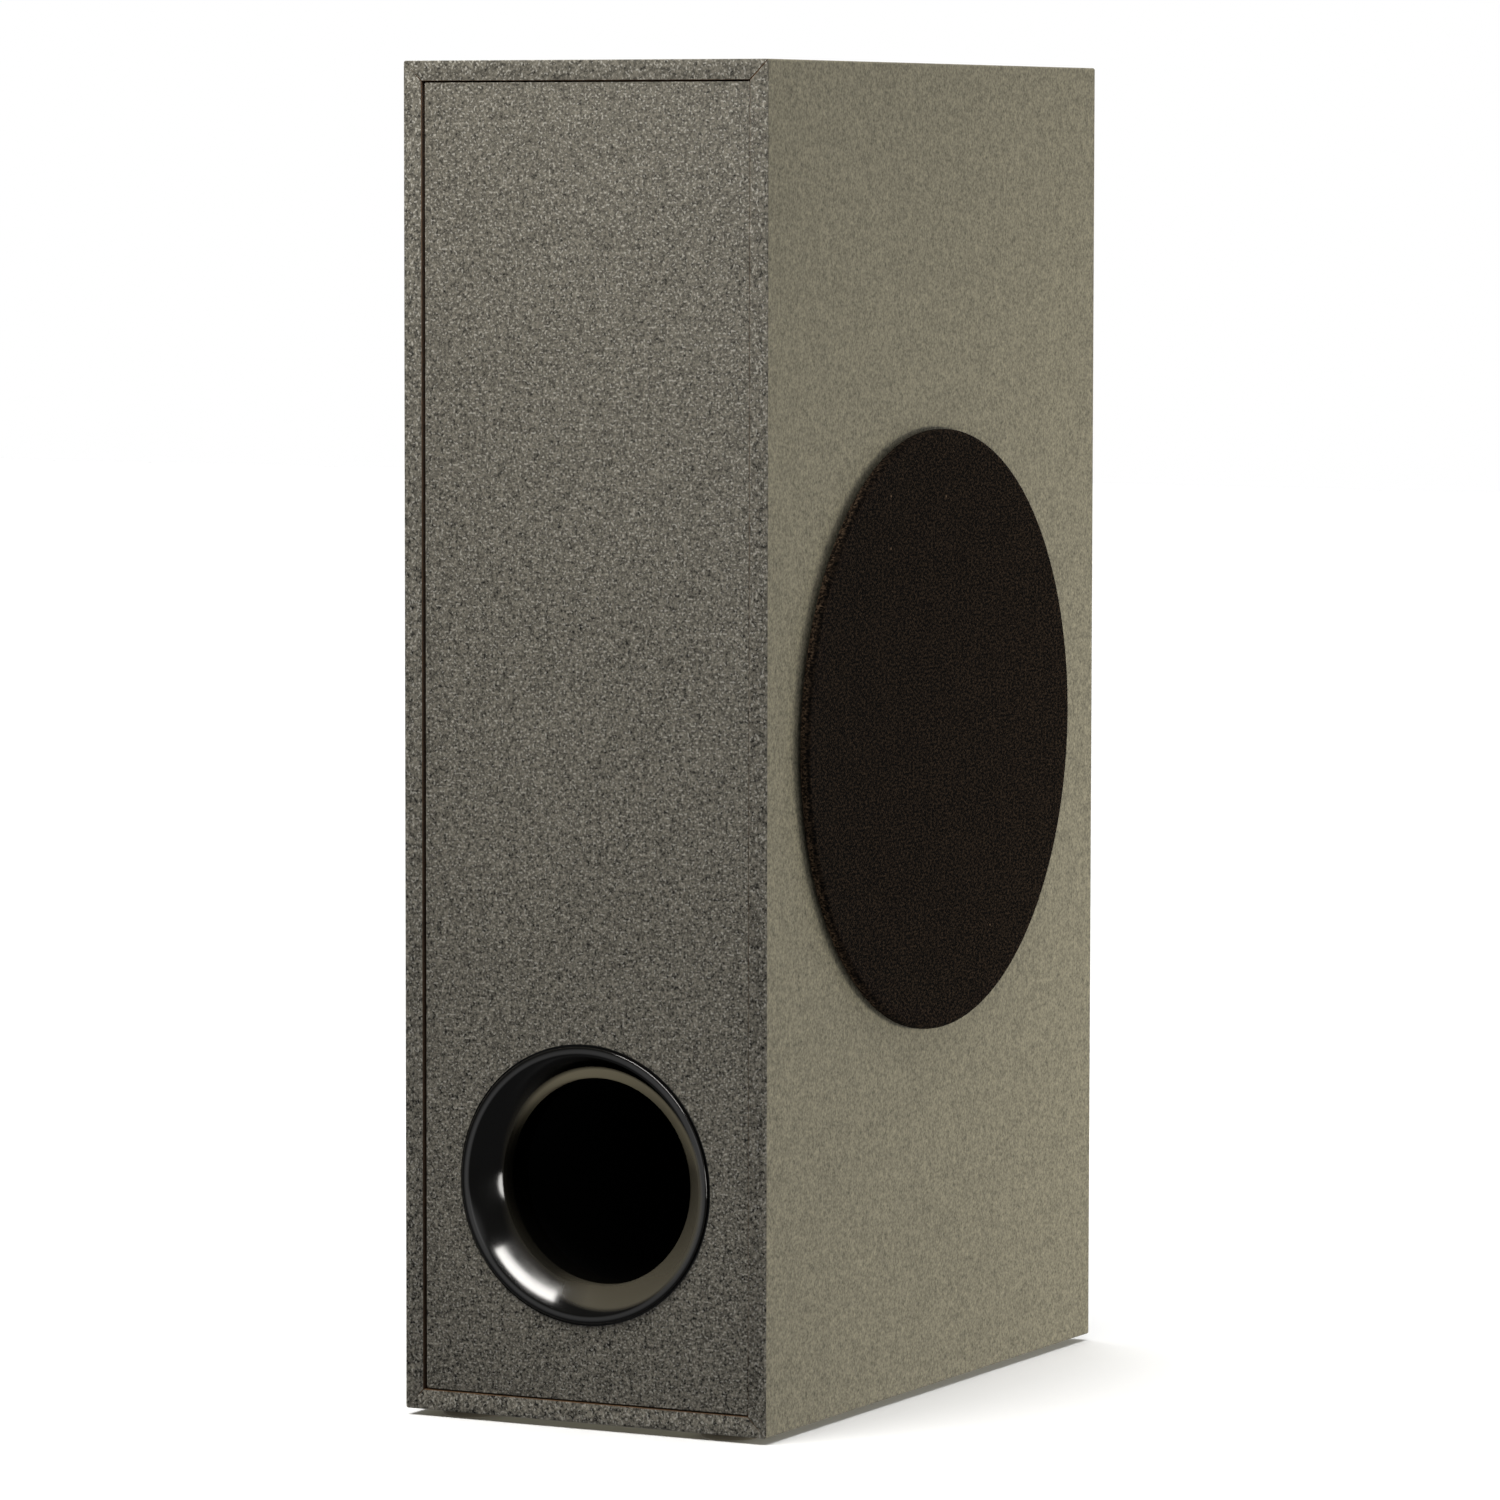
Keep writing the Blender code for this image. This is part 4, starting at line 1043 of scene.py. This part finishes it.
class SUBWOOFER_OT_woofer(bpy.types.Operator):
    """Make the cone, dust cap, surround, spider, leads and screws of the woofer"""

    bl_idname = "subwoofer.woofer"
    bl_label = "Woofer"

    def execute(self, context):
        self.cone()
        self.surround()
        self.spider()
        self.leads()
        for number in range(1, 5):
            node = f"driver_screw_{number}"
            low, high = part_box(node)
            place = (low + high) / 2
            origin = Vector((RIGHT + 0.3 * MM, place.y, place.z))
            head = high.x - origin.x
            pan_screw(
                f"woofer_screw_{number}", origin, TO_RIGHT, (high.y - low.y) / 2, head, 1.9 * MM,
                low.x - origin.x, "cabinet", "black_steel", node,
            )
        return {"FINISHED"}

    def cone(self):
        """Cone: its depth falls as a gentle curve from the edge to the neck."""
        low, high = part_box("driver_cone")
        edge_radius, edge = (high.z - low.z) / 2, high.x - RIGHT
        neck_radius, neck, paper = 17.0 * MM, low.x - RIGHT + 0.9 * MM, 0.9 * MM
        share = np.linspace(0, 1, 30)
        radii = edge_radius - 1.0 * MM + (neck_radius - edge_radius + 1.0 * MM) * share
        bow = 0.5 * MM * np.sin(np.pi * share)
        front = np.column_stack([radii, edge + (neck - edge) * share + bow])
        back = front[::-1] - (0, paper)
        back[-1] = (edge_radius, edge - paper)
        profile = np.concatenate([[(edge_radius, edge)], front, back])
        cone = turned("woofer_cone", profile[::-1], DRIVER, TO_RIGHT, 160)
        wear(paint(cone, "cone_paper"), "moving_cone", "cone_paper", "driver_cone")

        low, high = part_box("driver_dust_cap")
        edge, foot, crown = (high.z - low.z) / 2, low.x - RIGHT, high.x - RIGHT
        turn, thick = np.linspace(0, 1, 16) * np.pi / 2, 0.6 * MM
        dome = np.column_stack([
            edge * np.sin(turn), foot + thick + (crown - foot - thick) * np.cos(turn),
        ])
        profile = np.concatenate([dome, (dome - (0, thick))[::-1]])
        cap = turned("woofer_dust_cap", profile, DRIVER, TO_RIGHT, 96)
        wear(paint(cap, "cone_paper"), "moving_cone", "cone_paper", "driver_dust_cap")

    def surround(self):
        """Surround: a half round between an outer lip on the flange and a lip on the cone."""
        low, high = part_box("driver_surround")
        thick, rim = 0.8 * MM, (high.z - low.z) / 2
        outer_low = low.x - RIGHT
        inner_low = outer_low + 1.4 * MM
        crest, radius = 62.0 * MM, 5.0 * MM
        centre = (crest, (outer_low + inner_low + thick) / 2)
        outer, inner = radius + thick / 2, radius - thick / 2
        profile = [(rim, outer_low + thick), (rim, outer_low), (crest + inner, outer_low)]
        profile += arc(centre, (inner, inner), 12, 168, 24).tolist()
        profile += [(crest - inner, inner_low), (53.5 * MM, inner_low), (53.5 * MM, inner_low + thick)]
        profile += [(crest - outer, inner_low + thick)]
        profile += arc(centre, (outer, outer), 168, 12, 24).tolist()
        profile += [(crest + outer, outer_low + thick)]
        roll = turned("woofer_surround", profile, DRIVER, TO_RIGHT, 160, 50)
        paint(roll, "soft_rubber")
        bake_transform(roll)
        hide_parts("driver_surround")

    def spider(self):
        """Spider: a cup with seven ripples from its rim up to its collar."""
        low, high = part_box("driver_spider")
        half, rim_radius = 0.3 * MM, (high.z - low.z) / 2
        rim, collar, ripple = low.x - RIGHT + 1.0 * MM, -33.2 * MM, 0.8 * MM
        share = np.linspace(0, 1, 60)
        radii = 18.0 * MM + (36.0 * MM - 18.0 * MM) * share
        waves = np.cos(share * 6 * np.pi) * np.sin(share * np.pi) ** 0.5
        heights = collar + (rim - collar) * share - ripple * waves
        line = np.concatenate([[(16.9 * MM, collar)], np.column_stack([radii, heights]), [(rim_radius, rim)]])
        profile = np.concatenate([(line + (0, half))[::-1], line - (0, half)])
        cup = turned("woofer_spider", profile, DRIVER, TO_RIGHT, 96, 60)
        paint(cup, "spider_fabric")
        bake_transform(cup)
        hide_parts("driver_spider")

    def leads(self):
        """Braided leads: each follows its CAD wire's own line from the strip to the cone."""
        for name in ("upper", "lower"):
            node = f"tinsel_lead_{name}"
            copy = bpy.data.objects.new(f"braid_{name}", NODES[node].data.copy())
            bpy.context.scene.collection.objects.link(copy)
            shape = bmesh.new()
            shape.from_mesh(copy.data)
            bmesh.ops.remove_doubles(shape, verts=shape.verts, dist=1e-6)
            shape.to_mesh(copy.data)
            shape.free()
            paint(copy, "copper_parts")
            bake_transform(copy)
            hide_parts(node)


# --- The amplifier --------------------------------------------------------------------


def slot_outline(width, height, steps=14):
    """A slot about the origin: a straight middle between two half rounds, as (x, y) points."""
    reach, radii = (width - height) / 2, (height / 2, height / 2)
    ends = [arc((reach, 0), radii, -90, 90, steps), arc((-reach, 0), radii, 90, 270, steps)]
    return np.concatenate(ends)


def slot_levels(name, levels, origin, axes):
    """A surface through slot-shaped outlines: each level is (width, height, z)."""
    outlines = [(slot_outline(width, height), z) for width, height, z in levels]
    return through(name, outlines, origin, axes, 35)


class SUBWOOFER_OT_amplifier(bpy.types.Operator):
    """Make the rear plate, its screws, the mains socket, the button and the lamp"""

    bl_idname = "subwoofer.amplifier"
    bl_label = "Rear Plate"

    def execute(self, context):
        low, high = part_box("amp_plate")
        plate_low, plate_top = low.y - PANEL_FACE, high.y - PANEL_FACE
        inlet = middle("power_inlet") - PLATE
        button = middle("pairing_button") - PLATE
        lamp = middle("status_led") - PLATE
        levels = eased(high.x - low.x, high.z - low.z, 3 * MM, plate_low, plate_top, 0.35 * MM)
        plate = stacked("rear_plate", levels, PLATE, TO_REAR)
        tools = [tool_rod(PLATE, TO_REAR, (-button.x, button.z), 3.8 * MM, -BOARD, BOARD)]
        tools += [tool_rod(PLATE, TO_REAR, (-lamp.x, lamp.z), 1.8 * MM, -BOARD, BOARD)]
        socket_place = placed([(-inlet.x, inlet.z, 0)], PLATE, TO_REAR)[0]
        slot = [(22.6 * MM, 11.2 * MM, -BOARD), (22.6 * MM, 11.2 * MM, BOARD)]
        tools.append(slot_levels("tool", slot, socket_place, TO_REAR))
        for number in range(1, 5):
            node = f"plate_screw_{number}"
            low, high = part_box(node)
            place = (low + high) / 2
            tools.append(tool_rod(PLATE, TO_REAR, (-place.x, place.z - PLATE.z), 2.1 * MM, -BOARD, BOARD))
            origin = Vector((place.x, PANEL_FACE + plate_top + 0.1 * MM, place.z))
            pan_screw(
                f"rear_screw_{number}", origin, TO_REAR, (high.x - low.x) / 2, high.y - origin.y,
                1.6 * MM, low.y - origin.y, "cabinet", "black_steel", node,
            )
        carve(plate, tools)
        wear(paint(plate, "black_steel"), "cabinet", "black_steel", "amp_plate")

        bottom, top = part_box("power_inlet")
        body_low, face = bottom.y - PANEL_FACE, top.y - PANEL_FACE
        flange = plate_top + 0.1 * MM
        levels = [(21.8, 10.4, body_low), (21.8, 10.4, flange), (27.5, 14.0, flange)]
        levels += [(27.5, 14.0, face - 0.5 * MM), (27.1, 13.6, face - 0.15 * MM), (26.4, 12.9, face)]
        levels += [(16.6, 8.6, face), (15.8, 7.8, face - 0.4 * MM), (15.8, 7.8, -9.2 * MM)]
        levels = [(width * MM, height * MM, z) for width, height, z in levels]
        socket = slot_levels("mains_socket", levels, socket_place, TO_REAR)
        wear(paint(socket, "matt_black"), "cabinet", "matt_black", "power_inlet")
        for side in ("left", "right"):
            low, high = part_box(f"inlet_pin_{side}")
            radius, tall = (high.z - low.z) / 2, high.y - low.y
            profile = [(0, tall)] + arc((0, tall - radius), (radius, radius), 80, 0, 7).tolist()
            profile += [(radius, 0), (0, 0)]
            origin = Vector(((low.x + high.x) / 2, low.y, (low.z + high.z) / 2))
            pin = turned(f"mains_pin_{side}", profile, origin, TO_REAR, 24)
            wear(paint(pin, "brass_parts"), "cabinet", "brass_parts", f"inlet_pin_{side}")
        self.button_and_lamp()
        return {"FINISHED"}

    def button_and_lamp(self):
        """Button: a stepped cap with a dished face. Lamp: a low dome on a straight body."""
        low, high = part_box("pairing_button")
        centre = (low + high) / 2
        origin = Vector((centre.x, PANEL_FACE, centre.z))
        face, end = high.y - PANEL_FACE, low.y - PANEL_FACE
        radius, collar = 3.4 * MM, (high.x - low.x) / 2
        dish, belt = 0.35 * MM, 1.2 * MM
        profile = [(0, face - dish), (1.2 * MM, face - 0.3 * MM), (2.3 * MM, face - 0.05 * MM)]
        profile += arc((radius - 0.5 * MM, face - 0.5 * MM), (0.5 * MM, 0.5 * MM), 90, 0, 6).tolist()
        profile += [(radius, belt), (collar, belt), (collar, -0.2 * MM)]
        profile += [(2 * MM, -0.2 * MM), (2 * MM, end + 0.3 * MM), (1.7 * MM, end), (0, end)]
        cap = turned("pairing_cap", profile, origin, TO_REAR, 64)
        wear(paint(cap, "matt_black"), "button", "matt_black", "pairing_button")

        low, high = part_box("status_led")
        centre = (low + high) / 2
        radius, end, face = (high.z - low.z) / 2, low.y - PANEL_FACE, high.y - PANEL_FACE
        dome = 0.8 * MM
        profile = [(0, face)] + arc((0, face - dome), (radius, dome), 78, 0, 8).tolist()
        profile += [(radius, end), (0, end)]
        lamp = turned("status_lamp", profile, Vector((centre.x, PANEL_FACE, centre.z)), TO_REAR, 40)
        wear(paint(lamp, "lamp_lens"), "cabinet", "led_lens", "status_led")


# --- The nodes that stay --------------------------------------------------------------

# Finishes whose name isn't their slot's.
FINISH_OF_SLOT = {"circuit_green": "circuit_laminate"}


class SUBWOOFER_OT_inside(bpy.types.Operator):
    """Give every CAD part that stays its finish, from its slot in the record"""

    bl_idname = "subwoofer.inside"
    bl_label = "Inner Parts"

    def execute(self, context):
        for part in frame["record"]["subparts"]:
            node = NODES[part["node"]]
            if not node.hide_render:
                slot = part["material_slot"]
                paint(node, FINISH_OF_SLOT.get(slot, slot))
        return {"FINISHED"}


# --- The stage ------------------------------------------------------------------------


# Soft boxes, in metres: place, what it faces, width, height and tint. The key and side boxes
# don't show in gloss, and the gloss and glint boxes show in nothing else.
WARM = (1.0, 0.98, 0.94)
MOUTH = (0, -0.11, 0.07)
SOFT_BOXES = {
    "key": ((-0.2, -0.48, 0.76), (0, -0.1, 0.3), 0.5, 0.3, WARM),
    "side": ((0.62, 0.5, 0.09), (0.06, 0.1, 0.1), 0.35, 0.15, (1.0, 0.97, 0.88)),
    "gloss": ((0.23, -0.365, 0.81), MOUTH, 0.8, 0.11, WARM),
    "glint": ((0.9, -0.225, 0.07), MOUTH, 0.15, 0.31, WARM),
}
GLOSS_ALONG = Vector((0.887, -0.231, -0.4))  # the gloss box's long side
WINDOW = (0.61, -0.73, 0.30)  # towards the window in the studio's surroundings


def soft_box(name, power, place, target, wide, tall, tint):
    """A rectangular soft light at the place, facing the target."""
    light = bpy.data.lights.new(name, "AREA")
    light.shape = "RECTANGLE"
    light.size = wide
    light.size_y = tall
    light.energy = power
    light.color = tint
    lamp = bpy.data.objects.new(name, light)
    lamp.location = place
    lamp.rotation_euler = (Vector(target) - Vector(place)).to_track_quat("-Z", "Y").to_euler()
    lamp.visible_camera = False
    bpy.context.scene.collection.objects.link(lamp)
    return lamp


def studio_world(ambient):
    """The studio's surroundings: plain white to the camera, and dim to everything else.

    Their strength, in units of ambient, grows towards the back and towards the ground. In
    gloss the ground hardly shows, and a window at the front right and a wide patch straight
    ahead show as well.
    """
    world = bpy.data.worlds.new("studio")
    world.use_nodes = True
    tree = world.node_tree
    sky = tree.nodes["Background"]
    rays = put(tree, "ShaderNodeLightPath").outputs
    mirrored = rays["Is Glossy Ray"]
    direction = put(tree, "ShaderNodeTexCoord").outputs["Generated"]
    axes = put(tree, "ShaderNodeSeparateXYZ")
    window = put(tree, "ShaderNodeVectorMath", operation="DOT_PRODUCT")
    window.inputs[1].default_value = WINDOW
    join(tree, (direction, axes.inputs[0]), (direction, window.inputs[0]))
    behind = stretch(tree, axes.outputs["Y"], -0.1, 0.5, 0.3, 3.2)
    below = stretch(tree, axes.outputs["Z"], 0.0, -0.4, 0.0, 3.2)
    below = times(tree, below, stretch(tree, mirrored, 0.0, 1.0, 1.0, 0.04))
    glow = stretch(tree, window.outputs["Value"], 0.93, 0.99, 0.0, 3.5)
    glow = plus(tree, glow, stretch(tree, axes.outputs["Y"], -0.6, -0.95, 0.0, 3.0))
    behind = plus(tree, behind, times(tree, glow, mirrored))
    dim = times(tree, plus(tree, behind, below), ambient)
    strength = put(tree, "ShaderNodeMix", {"B": 1.0}, data_type="FLOAT")
    join(tree, (rays["Is Camera Ray"], strength.inputs[0]), (dim, strength.inputs[2]))
    join(tree, (strength.outputs[0], sky.inputs["Strength"]))
    sky.inputs["Color"].default_value = (1.0, 1.0, 1.0, 1.0)
    return world


class SUBWOOFER_OT_stage(bpy.types.Operator):
    """Set up the floor, the soft light and the camera"""

    bl_idname = "subwoofer.stage"
    bl_label = "Stage"

    def execute(self, context):
        stage = settings().stage
        scene = context.scene
        half = 6.0
        corners = [(-half, -half), (half, -half), (half, half), (-half, half)]
        mesh = bpy.data.meshes.new("floor")
        mesh.from_pydata([(x, y, 0.0) for x, y in corners], [], [(0, 1, 2, 3)])
        floor = bpy.data.objects.new("floor", mesh)
        scene.collection.objects.link(floor)
        white = textured("floor_paper", stage.floor, 30.0, (0.9, 1.0), 0.0, 0.0001, 0.01)
        mesh.materials.append(white)
        floor.visible_glossy = False
        floor.visible_diffuse = False

        scene.world = studio_world(stage.ambient)
        scene.view_settings.view_transform = "Standard"

        sun = bpy.data.lights.new("overhead", "SUN")
        sun.energy = stage.overhead
        sun.angle = math.radians(50)
        above = bpy.data.objects.new("overhead", sun)
        above.visible_glossy = False
        scene.collection.objects.link(above)
        key, side, gloss, glint = [
            soft_box(f"{name}_box", getattr(stage, name), *measures)
            for name, measures in SOFT_BOXES.items()
        ]
        out = (gloss.location - Vector(MOUTH)).normalized()
        short = out.cross(GLOSS_ALONG).normalized()
        gloss.rotation_euler = Matrix((short.cross(out), short, out)).transposed().to_euler()
        glint.data.shape = "ELLIPSE"
        key.visible_glossy = side.visible_glossy = False
        gloss.visible_diffuse = glint.visible_diffuse = False

        camera = bpy.data.cameras.new("camera")
        camera.lens = stage.focal
        camera.sensor_width = 36.0
        eye = bpy.data.objects.new("camera", camera)
        scene.collection.objects.link(eye)
        place = Vector((1.0485, -2.0476, 0.3713))
        heading, tilt, roll = math.radians(27.184), math.radians(-4.427), math.radians(0.092)
        turn = (
            Matrix.Rotation(heading, 4, "Z")
            @ Matrix.Rotation(math.radians(90) + tilt, 4, "X")
            @ Matrix.Rotation(roll, 4, "Z")
        )
        eye.matrix_world = Matrix.Translation(place) @ turn
        scene.camera = eye
        return {"FINISHED"}


class SUBWOOFER_PT_panel(bpy.types.Panel):
    """The sidebar panel that lists the steps"""

    bl_idname = "SUBWOOFER_PT_panel"
    bl_label = "Slim Subwoofer"
    bl_space_type = "VIEW_3D"
    bl_region_type = "UI"
    bl_category = "Subwoofer"

    def draw(self, context):
        for operator in OPERATORS:
            self.layout.operator(operator.bl_idname)
        for name in ("cabinet", "grille", "port", "stage"):
            box = self.layout.box()
            part = getattr(settings(), name)
            for label in part.__annotations__:
                box.prop(part, label)


OPERATORS = (
    SUBWOOFER_OT_stage,
    SUBWOOFER_OT_wrap,
    SUBWOOFER_OT_panels,
    SUBWOOFER_OT_feet,
    SUBWOOFER_OT_port,
    SUBWOOFER_OT_grille,
    SUBWOOFER_OT_woofer,
    SUBWOOFER_OT_amplifier,
    SUBWOOFER_OT_inside,
)
CLASSES = (
    SubwooferCabinetSettings,
    SubwooferGrilleSettings,
    SubwooferPortSettings,
    SubwooferStageSettings,
    SubwooferSettings,
    *OPERATORS,
    SUBWOOFER_PT_panel,
)


def register():
    for item in CLASSES:
        bpy.utils.register_class(item)
    bpy.types.Scene.subwoofer = bpy.props.PointerProperty(
        type=SubwooferSettings, name="Subwoofer", description="Settings of the slim subwoofer"
    )


def unregister():
    del bpy.types.Scene.subwoofer
    for item in reversed(CLASSES):
        bpy.utils.unregister_class(item)


def main():
    register()
    for operator in OPERATORS:
        family, name = operator.bl_idname.split(".")
        getattr(getattr(bpy.ops, family), name)()


if __name__ == "__main__":
    main()
